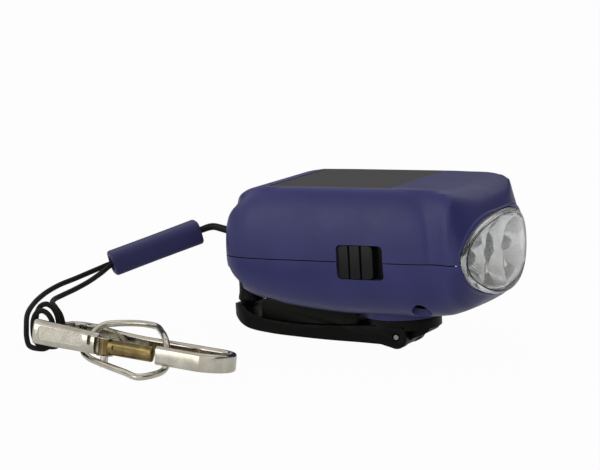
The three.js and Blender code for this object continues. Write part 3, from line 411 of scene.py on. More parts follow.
# Inside parts: nylon is waxy and pale or grey, the board has its green lacquer, the cells a shrunk film.
GREY_NYLON = moulded_plastic("grey moulded nylon", "#3c3c3e", "#474749", 0.55)
PALE_NYLON = moulded_plastic("natural moulded nylon", "#cfc9b6", "#ddd8c8", 0.5)
BOARD = moulded_plastic("lacquered fibreglass board", "#1d4a2a", "#2c6138", 0.45, 0.5, 0.03)
CELL_FILM = moulded_plastic("heat-shrunk cell film", "#55783a", "#6b8f4b", 0.3)
# The die's phosphor is a chalky yellow.
PHOSPHOR = moulded_plastic("yellow cast phosphor", "#c9b23a", "#ddc95a", 0.6)
# Metals: turned steel and brass are satin, nickel plate mirrors with a warm cast, and the gate's
# metal is given a darker brown colour. The reflector is metallised in a vacuum, so it mirrors sharply.
STEEL = plated_metal("turned steel", "#808080", "#909090", 0.3)
BRASS = plated_metal("turned brass", "#a98648", "#b59250", 0.28)
NICKEL = plated_metal("polished nickel plate", "#b9b4a6", "#cbc7bb", 0.13)
BROWN_NICKEL = plated_metal("brown nickel plate", "#655739", "#8a784f", 0.2)
CHROME = plated_metal("vacuum-metallised chrome", "#b6b6b4", "#c2c2c0", 0.05, 12.0, 0.01)
# The cover's acrylic is water clear, its rim a little hazed by the mould, the LEDs' epoxy milky.
ACRYLIC = clear_moulding("clear moulded acrylic", "#f6f8f8", 0.01, 1.49)
ACRYLIC_RIM = clear_moulding("hazed moulded acrylic", "#eef0f2", 0.16, 1.49)
EPOXY = clear_moulding("clear cast epoxy", "#c4c6c0", 0.1, 1.52)
SOLAR = solar_laminate("laminated solar cells")
CORD = braided_nylon("braided black nylon", "#030302", "#0e0e09")


# The cord.
CORD_RADIUS, CORD_STEPS, CORD_SIDES, STRANDS_EACH_WAY = 0.9, 1100, 20, 8
CORD_POINTS = [
    (-41.3, 1.25, 32.6), (-46, 1.25, 32.3), (-52, 1.7, 32.5), (-58.6, 3, 33.1), (-64.4, 4.1, 33.2),
    (-67.7, 0.7, 31.9), (-78.3, -10.6, 26.9), (-89.1, -22, 22.1), (-92.4, -27.8, 20.3),
    (-95.6, -35, 18.4), (-97.9, -42.5, 17), (-98.6, -50, 15.4), (-97.8, -57.5, 13.5), (-95.9, -64, 11.2),
    (-93.4, -68.2, 8), (-91.9, -70.2, 5), (-90.2, -71.2, 2.7), (-87, -71.2, 2.1), (-84.5, -69.8, 2.2),
    (-83, -68.3, 4.2), (-82.7, -67.7, 8), (-83.6, -67.5, 11.4), (-85.3, -67.4, 13.4),
    (-87.5, -67.3, 14.1), (-89.7, -67.2, 13.2), (-91.1, -67.1, 11), (-91.6, -67, 8), (-91.2, -67, 4.6),
    (-89.8, -66.9, 2.5), (-86.8, -66.7, 1.8), (-83.9, -66.5, 2.4), (-82.4, -66.1, 4.8), (-82, -65.7, 8.8),
    (-82.9, -65.4, 12.8), (-84.6, -65.3, 15.1), (-87, -65.2, 16), (-89.5, -65.1, 15.1),
    (-91.2, -65, 12.6), (-91.8, -64.9, 8.8), (-91.5, -64.8, 4.6), (-90, -64.6, 2.1), (-86.6, -64.4, 1.3),
    (-83.6, -64.2, 2.1), (-82.2, -63.8, 4.8), (-81.9, -63.4, 8.8), (-83, -63.1, 12.2),
    (-85.4, -62.4, 14.4), (-88.4, -60, 15.3), (-90.2, -56, 15.6), (-90.2, -51, 16.1),
    (-89.3, -44.5, 17.1), (-88.6, -37, 18.5), (-88.3, -30.5, 20.1), (-87.6, -24.3, 22.1),
    (-76.7, -12.6, 27), (-66.2, -0.9, 31.9), (-62.6, 1.5, 33.1), (-58, 0.4, 33), (-52, -1, 32.4),
    (-46, -1.25, 32.3), (-41.3, -1.25, 32.6),
]


def make_cord():
    """The cord's tube. Its texture runs in strands round it and in millimetres along it."""
    path = spline(CORD_POINTS, CORD_STEPS)
    sides = CORD_SIDES
    obj = tidy(new_object("braided_cord", *sweep(path, CORD_RADIUS, sides), CORD), 60)
    uv = obj.data.uv_layers.new(name="UVMap")
    along = np.concatenate([[0], np.cumsum(np.linalg.norm(np.diff(path, axis=0), axis=1))])
    for poly in obj.data.polygons:
        turns = [v % sides for v in poly.vertices]
        wrap = max(turns) - min(turns) > sides / 2
        for loop, v, c in zip(poly.loop_indices, poly.vertices, turns):
            c = c + sides if wrap and c < sides / 2 else c
            uv.data[loop].uv = (STRANDS_EACH_WAY / 2 * c / sides, along[min(v // sides, len(along) - 1)])
    piece(obj, "housing", "black_cord", "lanyard_cord")
    return obj, path, along[-1]


cord, cord_path, cord_length = make_cord()


# Body shape.
LENGTH, REAR = 96.0, -48.2
PARTING, WING_RISE, ROOF_RISE, BELLY_DROP = 32.8, 23.1, 23.8, 19.8
HALF_WIDTH, NOSE_HALF_WIDTH, POWER = 27.0, 26.9, 2.2
WING_FLAT, ROOF_FLAT, BELLY_FLAT = 0.8, 0.83, 0.45
LENS_FRONT, LENS_SWEEP, LENS_HALF_WIDTH, LENS_HALF_HEIGHT, LENS_Z = 48.3, 3.6, 25.6, 13.7, 33.6
ARC = (LENS_HALF_WIDTH ** 2 + LENS_SWEEP ** 2) / (2 * LENS_SWEEP)
ROOF_TOP = PARTING + ROOF_RISE
WALL = 2.0
GAP = 0.36  # between the shells, so that the parting line shows
TOOL_GRID = (60, 61)  # rows and columns of a half body that only cuts
HOLLOW_SHARE = 0.87  # how far along the body its hollow reaches
REAR_STEPS, REAR_DEPTH, REAR_SHRINK = 7, 0.264, 0.16
LENS_PROUD, NOSE_ROUND, NOSE_STEPS, BEND_START = 0.9, 0.9, 5, 0.72
END_SHARES = (0.01, 0.3, 0.6, 0.85)  # rings that close a curved end
NOSE_START, NOSE_FADE = 0.95, 0.65  # the section's flats shrink towards the oval lens
BLEND, BLEND_FILL = 2.2, 0.12  # where the wing meets the roof

WING_SHARES = [
    (0, 0.5, 0.3), (0.01, 0.66, 0.44), (0.03, 0.81, 0.57), (0.06, 0.9, 0.69), (0.1, 0.955, 0.81),
    (0.16, 0.99, 0.92), (0.24, 1, 0.98), (0.34, 1, 1), (0.5, 1, 1), (0.7, 1, 1),
    (0.75, 0.995, 0.985), (0.8, 0.985, 0.92), (0.835, 0.97, 0.8), (0.85, 0.955, 0.62),
    (0.868, 0.93, 0.3), (0.88, 0.9, 0.1),
]
ROOF_SHARES = [
    (0.02, 0.3, 0.5), (0.03, 0.46, 0.62), (0.04, 0.58, 0.72), (0.055, 0.67, 0.79), (0.08, 0.76, 0.86),
    (0.11, 0.83, 0.92), (0.15, 0.89, 0.97), (0.185, 0.92, 0.99), (0.21, 0.93, 1), (0.5, 0.93, 1),
    (0.7, 0.93, 1), (0.8, 0.935, 0.995), (0.86, 0.95, 0.985), (0.9, 0.965, 0.97), (0.94, 0.99, 0.92),
    (0.965, 0.995, 0.865), (0.985, 0.99, 0.79), (1, 0.968, 0.64),
]
BELLY_SHARES = [
    (0, 0.5, 0.22), (0.01, 0.66, 0.42), (0.03, 0.81, 0.55), (0.06, 0.9, 0.66), (0.1, 0.955, 0.755),
    (0.16, 0.99, 0.83), (0.24, 1, 0.895), (0.34, 1, 0.955), (0.5, 1, 1), (0.7, 0.995, 1),
    (0.8, 0.965, 0.985), (0.86, 0.95, 0.96), (0.9, 0.96, 0.91), (0.94, 0.985, 0.84),
    (0.97, 0.995, 0.74), (1, 0.98, 0.64),
]


def smooth_table(shares, s):
    """The table's width and height shares at s, on a monotone cubic, and zero outside it."""
    t = np.array(shares, float)
    out = []
    for k in (1, 2):
        x, y = t[:, 0], t[:, k]
        h, d = np.diff(x), np.diff(y) / np.diff(x)
        m = np.zeros(len(x))
        for i in range(1, len(x) - 1):
            if d[i - 1] * d[i] > 0:
                w1, w2 = 2 * h[i] + h[i - 1], h[i] + 2 * h[i - 1]
                m[i] = (w1 + w2) / (w1 / d[i - 1] + w2 / d[i])
        m[0], m[-1] = d[0], d[-1]
        i = int(np.clip(np.searchsorted(x, s) - 1, 0, len(x) - 2))
        u = (s - x[i]) / h[i]
        v = ((1 + 2 * u) * (1 - u) ** 2 * y[i] + u * (1 - u) ** 2 * h[i] * m[i]
             + u * u * (3 - 2 * u) * y[i + 1] + u * u * (u - 1) * h[i] * m[i + 1])
        out.append(0.0 if s < x[0] - 1e-9 or s > x[-1] + 1e-9 else v)
    return out


def reach(width, rise, flat_share, power, angle):
    """How far the section's edge is from the middle of the parting plane, in each direction."""
    if width < 1e-3 or rise < 1e-3:
        return np.zeros_like(angle)
    flat = width * flat_share
    low, high = np.zeros_like(angle), np.full_like(angle, 60.0)
    c, s = np.abs(np.cos(angle)), np.sin(angle)
    for _ in range(40):
        mid = (low + high) / 2
        corner = np.clip((mid * c - flat) / (width - flat), 0, None) ** power + (mid * s / rise) ** power
        low, high = np.where(corner < 1, mid, low), np.where(corner < 1, high, mid)
    return low


def half_body(upper, inset=0.0, rows=150, columns=97):
    """Rings of one half of the body. Directions are packed closer round the shoulders."""
    u = np.linspace(0, 1, columns)
    angle = math.pi * (u - 0.03 * np.sin(4 * math.pi * u))
    stations = np.unique(np.concatenate([np.linspace(0, 1, rows), 0.05 * np.linspace(0, 1, 20) ** 2]))
    if inset:
        stations = stations[stations < HOLLOW_SHARE]
    rings = []
    for s in stations:
        t = float(np.clip((s - NOSE_START) / (1 - NOSE_START), 0, 1))
        nose = t * t * (3 - 2 * t)
        power, fade = POWER - 0.2 * nose, 1 - NOSE_FADE * nose
        if upper:
            w, h = smooth_table(WING_SHARES, s)
            a = reach(w * HALF_WIDTH - inset, h * WING_RISE - inset, WING_FLAT, POWER, angle)
            w, h = smooth_table(ROOF_SHARES, s)
            b = reach(w * NOSE_HALF_WIDTH - inset, h * ROOF_RISE - inset, ROOF_FLAT * fade, power, angle)
            near = np.clip(BLEND - np.abs(a - b), 0, None) / BLEND
            r = np.maximum(a, b) + near ** 2 * BLEND * BLEND_FILL
        else:
            w, h = smooth_table(BELLY_SHARES, s)
            r = reach(w * HALF_WIDTH - inset, h * BELLY_DROP - inset, BELLY_FLAT * fade, power, angle)
        y, z = r * np.cos(angle), r * np.sin(angle)
        if inset:
            z[[0, -1]] = -1.0  # a tool reaches past the parting plane
        x = np.full_like(y, REAR + inset + s * (LENGTH - inset))
        rings.append(np.stack([x, y, PARTING + (z if upper else -z)], axis=1))
    return np.array(rings)


def soften_rear(rings):
    """Rounds the flat rear end of a body half, within its length."""
    first = rings[0].copy()
    middle = np.array([0, 0, PARTING])
    out = []
    for i in range(REAR_STEPS):
        up = math.sin((math.pi / 2) * (i / REAR_STEPS))
        scale = 1 - REAR_SHRINK * (1 - up)
        ring = middle + (first - middle) * [1, scale, scale]
        ring[:, 0] = first[:, 0] + REAR_DEPTH * up
        out.append(ring)
    return np.concatenate([np.array(out), rings[rings[:, 0, 0] > first[0, 0] + REAR_DEPTH]])


def curved_front(y, behind):
    return LENS_FRONT - behind - (ARC - np.sqrt(ARC ** 2 - y ** 2))


def bend_front(rings):
    """Moves the front stations back along the curved front, rounds the edge and closes the end."""
    out = rings.copy()
    s = (out[:, :, 0] - REAR) / LENGTH
    weight = np.clip((s - BEND_START) / (1 - BEND_START), 0, 1) ** 1.5
    out[:, :, 0] -= weight * (REAR + LENGTH - curved_front(out[:, :, 1], LENS_PROUD + NOSE_ROUND))
    middle = np.array([0, 0, PARTING])
    flat = (out[-1] - middle) * [0, 1, 1]
    far = np.linalg.norm(flat, axis=1, keepdims=True)
    closing = []
    for i in range(1, NOSE_STEPS + 1):
        a = (math.pi / 2) * i / NOSE_STEPS
        ring = middle + flat * (1 - NOSE_ROUND * (1 - math.cos(a)) / far)
        ring[:, 0] = curved_front(ring[:, 1], LENS_PROUD + NOSE_ROUND * (1 - math.sin(a)))
        closing.append(ring)
    edge = closing[-1]
    for share in END_SHARES[::-1]:
        ring = middle + (edge - middle) * [0, share, share]
        ring[:, 0] = curved_front(ring[:, 1], LENS_PROUD)
        closing.append(ring)
    return np.concatenate([out, np.array(closing)])


def box_tool(x0, x1, y0, y1, z0, z1, radius=0.0, axis="Z"):
    spans = {"X": (x0, x1), "Y": (y0, y1), "Z": (z0, z1)}
    (a0, a1), (b0, b1) = [spans[k] for k in "XYZ" if k != axis]
    corners = [(a0, b0), (a1, b0), (a1, b1), (a0, b1)]
    outline = rounded(corners, radius) if radius else corners
    return prism("tool", outline, axis, *spans[axis], BLUE)


def rod_tool(radius, x, y, axis, low, high, sides=40, place=level_to_row):
    """A round bar along an axis, to cut with or to add."""
    outline = [(x + radius * math.cos(a), y + radius * math.sin(a)) for a in full_turn(sides)]
    return prism("tool", outline, axis, low, high, BLUE, place)


def loft_tool(rings):
    return new_object("tool", *loft(rings), BLUE, level_to_row)


def oval_loft(sections, sides=96):
    """Rings of an oval about the lens axis: half width, half height, distance behind the curved
    front or None, x."""
    rings = []
    a = full_turn(sides)
    for half_width, half_height, behind, x in sections:
        y, z = half_width * np.cos(a), LENS_Z + half_height * np.sin(a)
        at = np.full_like(y, x) if behind is None else curved_front(y, behind)
        rings.append(np.stack([at, y, z], axis=1))
    return rings


POCKET_REACH, POCKET_FOOT, POCKET_FAR, POCKET_HALF_TURN = 54.4, 23.4, 80.0, 42
POCKET_FLARE = [(0, 0), (1.2, 0.9), (2.6, 2.3), (3.6, 3.9), (4.3, 5.3)]
POCKET_TOP = POCKET_FOOT + POCKET_FLARE[-1][1]


def pocket_tool(inset, top):
    """Everything behind the knob's pocket, up to a height. It opens outward towards its top."""
    wall_line = [(POCKET_REACH + out - inset, POCKET_FOOT + up + inset) for out, up in POCKET_FLARE]
    kept = [p for p in wall_line if p[1] < top - 1e-6]
    kept.append((float(np.interp(top, [p[1] for p in wall_line], [p[0] for p in wall_line])), top))
    profile = [(POCKET_REACH - inset, -5.0)] + kept + [(POCKET_FAR, top), (POCKET_FAR, -5.0)]
    half_turn = math.radians(POCKET_HALF_TURN)
    return loft_tool([[[PIN_X + r * math.cos(a), r * math.sin(a), z] for r, z in profile]
                      for a in np.linspace(math.pi - half_turn, math.pi + half_turn, 64)])


SWITCH_WINDOW, SWITCH_CORNER = (-0.7, 16.3, 27.0, 38.5), 1.9
BEZEL, BEZEL_FACE, BEZEL_BACK = 1.4, -25.2, -23.2
LAMP_BAY, LENS_SEAT = (23.9, 12.1), (25.9, 14.0)  # half widths and half heights
SEAT_BEHIND, SEAT_AHEAD = 3.7, 4.0
PANEL_REAR, PANEL_FRONT, PANEL_HALF_WIDTH = -27.7, 17.3, 20.5
CORD_HOLE, CORD_HOLE_Z = 2.7, 36
HUB, HUB_BORE, SCREW_POST, SCREW_WELL = 14, 3.3, 4.6, 3.3  # radii
SCREWS = [(x, side) for x, y in ((26, 19.2), (-30, 17)) for side in (-y, y)]


def make_shell(upper):
    skin = loft_tool(bend_front(soften_rear(half_body(upper))))
    skin.name = "upper_skin" if upper else "lower_skin"
    obj = boolean(outward(skin), loft_tool(half_body(upper, WALL, *TOOL_GRID)))
    # The lamp bay and the lens's seat.
    boolean(obj, loft_tool(oval_loft([(*LAMP_BAY, None, x) for x in (29, 44, 52)])))
    shares = END_SHARES + (1,)
    ends = [(t, SEAT_BEHIND) for t in shares] + [(t, -SEAT_AHEAD) for t in shares[::-1]]
    seat = [(LENS_SEAT[0] * t, LENS_SEAT[1] * t, behind, 0) for t, behind in ends]
    boolean(obj, loft_tool(oval_loft(seat)))
    # The bezel round the switch, filled in behind the skin and opened again.
    x0, x1, z0, z1 = SWITCH_WINDOW
    low, high = (PARTING - 0.6, z1 + BEZEL) if upper else (z0 - BEZEL, PARTING + 0.6)
    boolean(obj, box_tool(x0 - BEZEL, x1 + BEZEL, BEZEL_FACE, BEZEL_BACK, low, high), "UNION")
    boolean(obj, box_tool(x0, x1, -32, -20, z0, z1, SWITCH_CORNER, "Y"))
    return obj


def make_upper_shell():
    obj = make_shell(True)
    # A pad under the roof, and the panel's recess sunk in it.
    for grow, low, high, corner, kind in ((2, -3.6, -1.0, 0, "UNION"), (0.3, -1.9, 5, 0.6, "DIFFERENCE")):
        half = PANEL_HALF_WIDTH + grow
        boolean(obj, box_tool(PANEL_REAR - grow, PANEL_FRONT + grow, -half, half, ROOF_TOP + low,
                              ROOF_TOP + high, corner), kind)
    boolean(obj, rod_tool(CORD_HOLE, 0, CORD_HOLE_Z, "X", REAR - 5, REAR + 6, 48))
    boolean(obj, box_tool(-60, 60, -40, 40, -10, PARTING + GAP / 2))
    piece(obj, "housing", "blue_plastic", "upper_shell", angle=32)


def make_lower_shell():
    obj = make_shell(False)
    lining = outward(pocket_tool(WALL, POCKET_TOP + WALL / 2))
    boolean(obj, boolean(lining, loft_tool(half_body(False, 0.4, *TOOL_GRID)), "INTERSECT"), "UNION")
    boolean(obj, pocket_tool(0, POCKET_TOP))
    boolean(obj, rod_tool(HUB, PIN_X, 0, "Z", 11.0, 14.4, 96), "UNION")
    boolean(obj, rod_tool(HUB_BORE, PIN_X, 0, "Z", 5.0, 18.0, 48))
    for x, y in SCREWS:
        post = rod_tool(SCREW_POST, x, y, "Z", 17.6, 31)
        boolean(obj, boolean(post, loft_tool(half_body(False, 0.5, *TOOL_GRID)), "INTERSECT"), "UNION")
        boolean(obj, rod_tool(SCREW_WELL, x, y, "Z", -5, 22))
    boolean(obj, box_tool(-60, 60, -40, 40, PARTING - GAP / 2, 70))
    piece(obj, "housing", "blue_plastic", "lower_shell", angle=32)


make_upper_shell()
make_lower_shell()


# Lens, reflector and LEDs.
CUPS = ((-14.6, 7.4, 7.6), (0.0, 6.7, 10.4), (14.6, 7.4, 7.6))
REFLECTOR_HALF_WIDTH, REFLECTOR_HALF_HEIGHT, REFLECTOR_BEHIND = 23.35, 11.5, 1.95
REFLECTOR_WALL, LED_HOLE, LED_BACK = 0.6, 2.8, 31.9
CUP_FLOOR_X, CUP_DEPTH, CUP_SLOPE, CUP_RIM, CUP_BLEND = 34.2, 13.0, 10.8, 0.6, 0.3
LAND_DEPTH, LAND_DIP = 0.6, 2.2


def make_reflector():
    """One metallised skin: a land that follows the cover, with three bowls sunk in it."""
    rows, columns = 76, 176
    turn = full_turn(columns)
    rings = []
    for i in range(rows):
        t = 1 - i / (rows - 1) * 0.999
        y, z = t * REFLECTOR_HALF_WIDTH * np.cos(turn), t * REFLECTOR_HALF_HEIGHT * np.sin(turn)
        depth = -LAND_DEPTH - LAND_DIP * (1 - t ** 4)
        for cy, half_width, half_height in CUPS:
            q = ((y - cy) / (half_width + CUP_RIM)) ** 2 + (z / (half_height + CUP_RIM)) ** 2
            cup = -CUP_DEPTH + CUP_SLOPE * np.clip(q, 0, 4)
            near = np.clip(CUP_BLEND - np.abs(cup - depth), 0, None) / CUP_BLEND
            depth = np.minimum(cup, depth) - near ** 2 * CUP_BLEND / 4
        front = curved_front(y, REFLECTOR_BEHIND)
        edge = np.clip((t - 0.965) / 0.035, 0, 1)
        x = np.maximum(front + depth, CUP_FLOOR_X) * (1 - edge) + front * edge
        rings.append(np.stack([x, y, LENS_Z + z], axis=1))
    faces = grid_faces(rows, columns)
    faces.append(tuple(range((rows - 1) * columns, rows * columns)))
    obj = new_object("chrome_reflector", np.array(rings).reshape(-1, 3), faces, CHROME, level_to_row)
    m = obj.modifiers.new("solidify", "SOLIDIFY")
    m.thickness, m.offset = REFLECTOR_WALL * MM, -1
    outward(applied(obj))
    for y, _, _ in CUPS:
        boolean(obj, rod_tool(LED_HOLE, y, LENS_Z, "X", 28, 37))
    piece(obj, "housing", "chrome_plated", "reflector", angle=55)


def make_lens():
    """The cover's window, and the thicker rim that stands a little proud round it."""
    back = oval_loft([(23.6 * t, 11.75 * t, 1.6, 0) for t in np.linspace(0.01, 1, 24)])
    front = oval_loft([(23.8 * t, 11.95 * t, 0.05, 0) for t in np.linspace(1, 0.01, 36)])
    obj = new_object("lens_window", *loft(back + front), ACRYLIC, level_to_row)
    piece(obj, "housing", "clear_lens", "front_lens", angle=50)
    # Half width, half height and distance behind the front, once round the rim's section.
    w, h = LENS_HALF_WIDTH, LENS_HALF_HEIGHT
    rim = [(23.9, 12.05, 0.3), (24.15, 12.3, 0.05), (24.7, 12.8, 0.0), (25.2, 13.3, 0.1),
           (25.5, 13.6, 0.45), (w, h, 1.0), (w, h, 3.3), (24.4, 12.5, 3.3), (23.9, 12.05, 2.4),
           (23.9, 12.05, 0.3)]
    sides = 144
    verts = np.array(oval_loft([(*r, 0) for r in rim], sides)).reshape(-1, 3)
    obj = new_object("lens_rim", verts, grid_faces(len(rim), sides), ACRYLIC_RIM, level_to_row)
    piece(obj, "housing", "clear_lens", angle=50)


def make_leds():
    """Each has a clear dome, the steel cup in it and the phosphor on the cup's floor."""
    dome = [(0, 0.0), (2.6, 0.0), (2.6, 1.0), (2.5, 1.05)]
    dome += [(2.5 * math.cos(a), 8.5 + 2.5 * math.sin(a)) for a in np.linspace(0, math.pi / 2, 14)]
    cup = [(0, 4.6), (1.0, 4.6), (1.35, 6.0), (1.15, 6.0), (0.75, 5.3), (0, 5.3)]
    die = [(0, 5.35), (0.7, 5.35), (0.62, 5.65), (0.3, 5.8), (0, 5.82)]
    parts = (("dome", dome, EPOXY, "led_clear"), ("cup", cup, STEEL, "steel"),
             ("die", die, PHOSPHOR, "led_clear"))
    for n, (y, _, _) in enumerate(CUPS, 1):
        for part, profile, material, slot in parts:
            obj = turned(f"led_{part}_{n}", profile, 48, [LED_BACK, y, LENS_Z], material, "X")
            piece(obj, "housing", slot, *([f"led_{n}"] if part == "dome" else []), angle=40)


make_reflector()
make_lens()
make_leds()


# Switch.
CAP_REAR, CAP_LENGTH, CAP_SPAN, CAP_BACK, CAP_FACE = -0.4, 12.7, (27.3, 38.2), -23.2, -26.4
CAP_SWELL, GROOVE_DEPTH, GROOVE_HALF_WIDTH = 0.25, 0.9, 0.3


def make_switch():
    """A ribbed slider whose face swells a little, and the plate behind it."""
    outline = []
    for x in np.linspace(0, CAP_LENGTH, 110):
        y = CAP_FACE + 0.05 - CAP_SWELL * math.sin(math.pi * x / CAP_LENGTH)
        for share in (1 / 3, 2 / 3):
            y += GROOVE_DEPTH * math.exp(-(abs(x - CAP_LENGTH * share) / GROOVE_HALF_WIDTH) ** 4)
        outline.append((CAP_REAR + x, y))
    outline += [(CAP_REAR + CAP_LENGTH, CAP_BACK), (CAP_REAR, CAP_BACK)]
    obj = prism("switch_cap", outline, "Z", *CAP_SPAN, SLIDER_BLACK)
    boolean(obj, box_tool(CAP_REAR, CAP_REAR + CAP_LENGTH, -30, -20, *CAP_SPAN, 1.6, "Y"), "INTERSECT")
    bevelled(obj, 0.3, 3, 50)
    piece(obj, "switch", "black_plastic", "switch_slider", angle=40)
    plate = rounded([(-2.1, 25.7), (17.7, 25.7), (17.7, 39.8), (-2.1, 39.8)], 1.0)
    back = prism("switch_plate", plate, "Y", -22.9, -19.5, SLIDER_BLACK)
    piece(bevelled(back, 0.3), "housing", "grey_plastic", "switch_body", angle=40)


make_switch()


# Crank.
ARM_REACH, ARM_BEND, ARM_HALF_WIDTH, ARM_END_X = 64.9, 4.0, 7.5, -47.3
FORK_REACH, FORK_HALF_WIDTH, LUG_HALF_WIDTH = 13.6, 4.59, 4.2
KNUCKLE, PIN_BORE, KNOB_BORE, SHAFT_BORE = 4.0, 1.4, 1.9, 2.3  # radii
ARM_TOP = [
    (0.01, 1), (0.22, 0.82), (0.43, 0.7), (0.61, 0.73), (0.8, 1.1), (0.87, 1.55), (0.91, 2.1), (0.97, 2.1),
    (1, 1.95),
]
ARM_BOTTOM = [
    (1, 1.4), (0.96, 0.9), (0.92, 0.45), (0.87, 0.08), (0.74, -0.25), (0.57, -0.43), (0.39, -0.55),
    (0.22, -0.6), (0.09, -0.66),
]
KNOB_X = PIN_X - 59.4


def arm_edge(shares):
    points = [(PIN_X - ARM_REACH * along, PIN_Z + ARM_BEND * up) for along, up in shares]
    return [tuple(p) for p in spline(points, 80)]


def arc_points(radius, x, y, first, last, steps):
    return [(x + radius * math.cos(a), y + radius * math.sin(a)) for a in np.linspace(first, last, steps)]


def make_arm():
    knuckle = arc_points(KNUCKLE, PIN_X, PIN_Z, -0.62 * math.pi, 0.5 * math.pi, 30)
    outline = knuckle + arm_edge(ARM_TOP) + arm_edge(ARM_BOTTOM)
    half = ARM_HALF_WIDTH
    obj = prism("arm_lever", outline, "Y", -half, half, BLACK)
    plan = arc_points(half, ARM_END_X, 0, math.pi / 2, 3 * math.pi / 2, 48) + [(20, -half), (20, half)]
    boolean(obj, prism("tool", plan, "Z", -5, 40, BLACK), "INTERSECT")
    # The spine under the knob, then the fork for the lug and the two bores.
    spine = [(-42.5, 4), (-5.5, 4), (-5.5, 10.7), (-8.5, 12.2), (-24, 12.2), (-39.5, 15.2), (-42.5, 13.7)]
    boolean(obj, prism("tool", rounded(spine, 1.2), "Y", -5, 5, BLACK), "UNION")
    boolean(obj, box_tool(PIN_X - FORK_REACH, 25, -FORK_HALF_WIDTH, FORK_HALF_WIDTH, -5, 40, 1.6))
    boolean(obj, rod_tool(PIN_BORE, PIN_X, PIN_Z, "Y", -20, 20))
    boolean(obj, rod_tool(KNOB_BORE, KNOB_X, 0, "Z", 6, 40))
    piece(bevelled(obj, 0.5, 3, 40), "arm", "black_plastic", "crank_arm", angle=35)


def make_rotor():
    disc = [(0, 8.4), (11.9, 8.4), (12.3, 8.55), (12.5, 8.9), (12.5, 10.5), (12.3, 10.7), (0, 10.7)]
    obj = outward(turned("crank_hub", disc, 128, [PIN_X, 0, 0], BLACK))
    lip = arc_points(12.5, PIN_X, 0, -1.159, 1.159, 60)
    boolean(obj, prism("tool", lip, "Z", 7.1, 9.5, BLACK), "UNION")
    # The lug between the arm's forks, and the ramp that carries it.
    ramp = arc_points(3.7, PIN_X, PIN_Z, math.pi, 1.6 * math.pi, 24)
    under = [(1.5, 0.55), (4.5, 2.96), (10.25, 5.66), (11.75, 8.1)]
    ramp += [tuple(p) for p in spline([(PIN_X + x, z) for x, z in under], 24)]
    ramp += [(PIN_X + 11.75, 10.5), (PIN_X - 3.7, 10.5)]
    boolean(obj, prism("tool", ramp, "Y", -LUG_HALF_WIDTH, LUG_HALF_WIDTH, BLACK), "UNION")
    boolean(obj, rod_tool(PIN_BORE, PIN_X, PIN_Z, "Y", -20, 20))
    boolean(obj, rod_tool(SHAFT_BORE, PIN_X, 0, "Z", 7.9, 20))
    piece(bevelled(obj, 0.3, 2, 40), "crank", "black_plastic", "crank_rotor", angle=35)


def make_knob():
    r, top, bore = 4.5, 9.8, KNOB_BORE
    side = [(r - 0.25, 0), (r, 0.35), (r, 1.1), (r - 0.35, 2.9), (r - 0.35, 7.4), (r, 9.0), (r - 0.05, 9.5),
            (r - 0.5, top)]
    profile = [(bore, 0)] + [tuple(p) for p in spline(side, 50)]
    profile += [(3.25, top), (3.2, 8.4), (bore, 8.4), (bore, 0)]
    obj = turned("knob_grip", profile, 72, [KNOB_X, 0, 13.0], BLACK)
    piece(obj, "knob", "black_plastic", "crank_knob", angle=40)
    pin = [(0, 8.35), (1.6, 8.35), (1.6, 21.7), (2.7, 21.7), (2.9, 21.9), (2.9, 22.4), (2.5, 22.75),
           (0, 22.8)]
    obj = turned("knob_rivet", pin, 48, [KNOB_X, 0, 0], BLACK)
    piece(obj, "arm", "black_plastic", "knob_pin", angle=40)


def make_hinge_pin():
    half = [(1.1, 7.0), (1.05, 7.3), (0.85, 7.5), (0, 7.5)]
    profile = [(r, -z) for r, z in half[::-1]] + half
    obj = turned("steel_hinge_pin", profile, 32, [PIN_X, 0, PIN_Z], STEEL, "Y")
    piece(obj, "crank", "steel", "hinge_pin", angle=40)


make_arm()
make_rotor()
make_knob()
make_hinge_pin()


# Screws.
def make_screws():
    head = [(0, 20.1), (2.2, 20.1), (2.45, 20.3), (2.5, 20.7), (2.5, 21.7), (1.1, 21.7), (1.1, 40.6),
            (0, 40.8)]
    for n, (x, y) in enumerate(SCREWS, 1):
        obj = outward(turned(f"cross_screw_{n}", head, 40, [x, y, 0], STEEL))
        for a, b in ((1.5, 0.28), (0.28, 1.5)):
            boolean(obj, box_tool(x - a, x + a, y - b, y + b, 19, 21.1))
        piece(obj, "housing", "steel", f"shell_screw_{n}", angle=35)


make_screws()


# Bead.
def basis(start_point, end_point):
    along = (end_point - start_point) / np.linalg.norm(end_point - start_point)
    side = np.cross([0, 0, 1.0], along)
    side /= np.linalg.norm(side)
    return side, np.cross(along, side), along


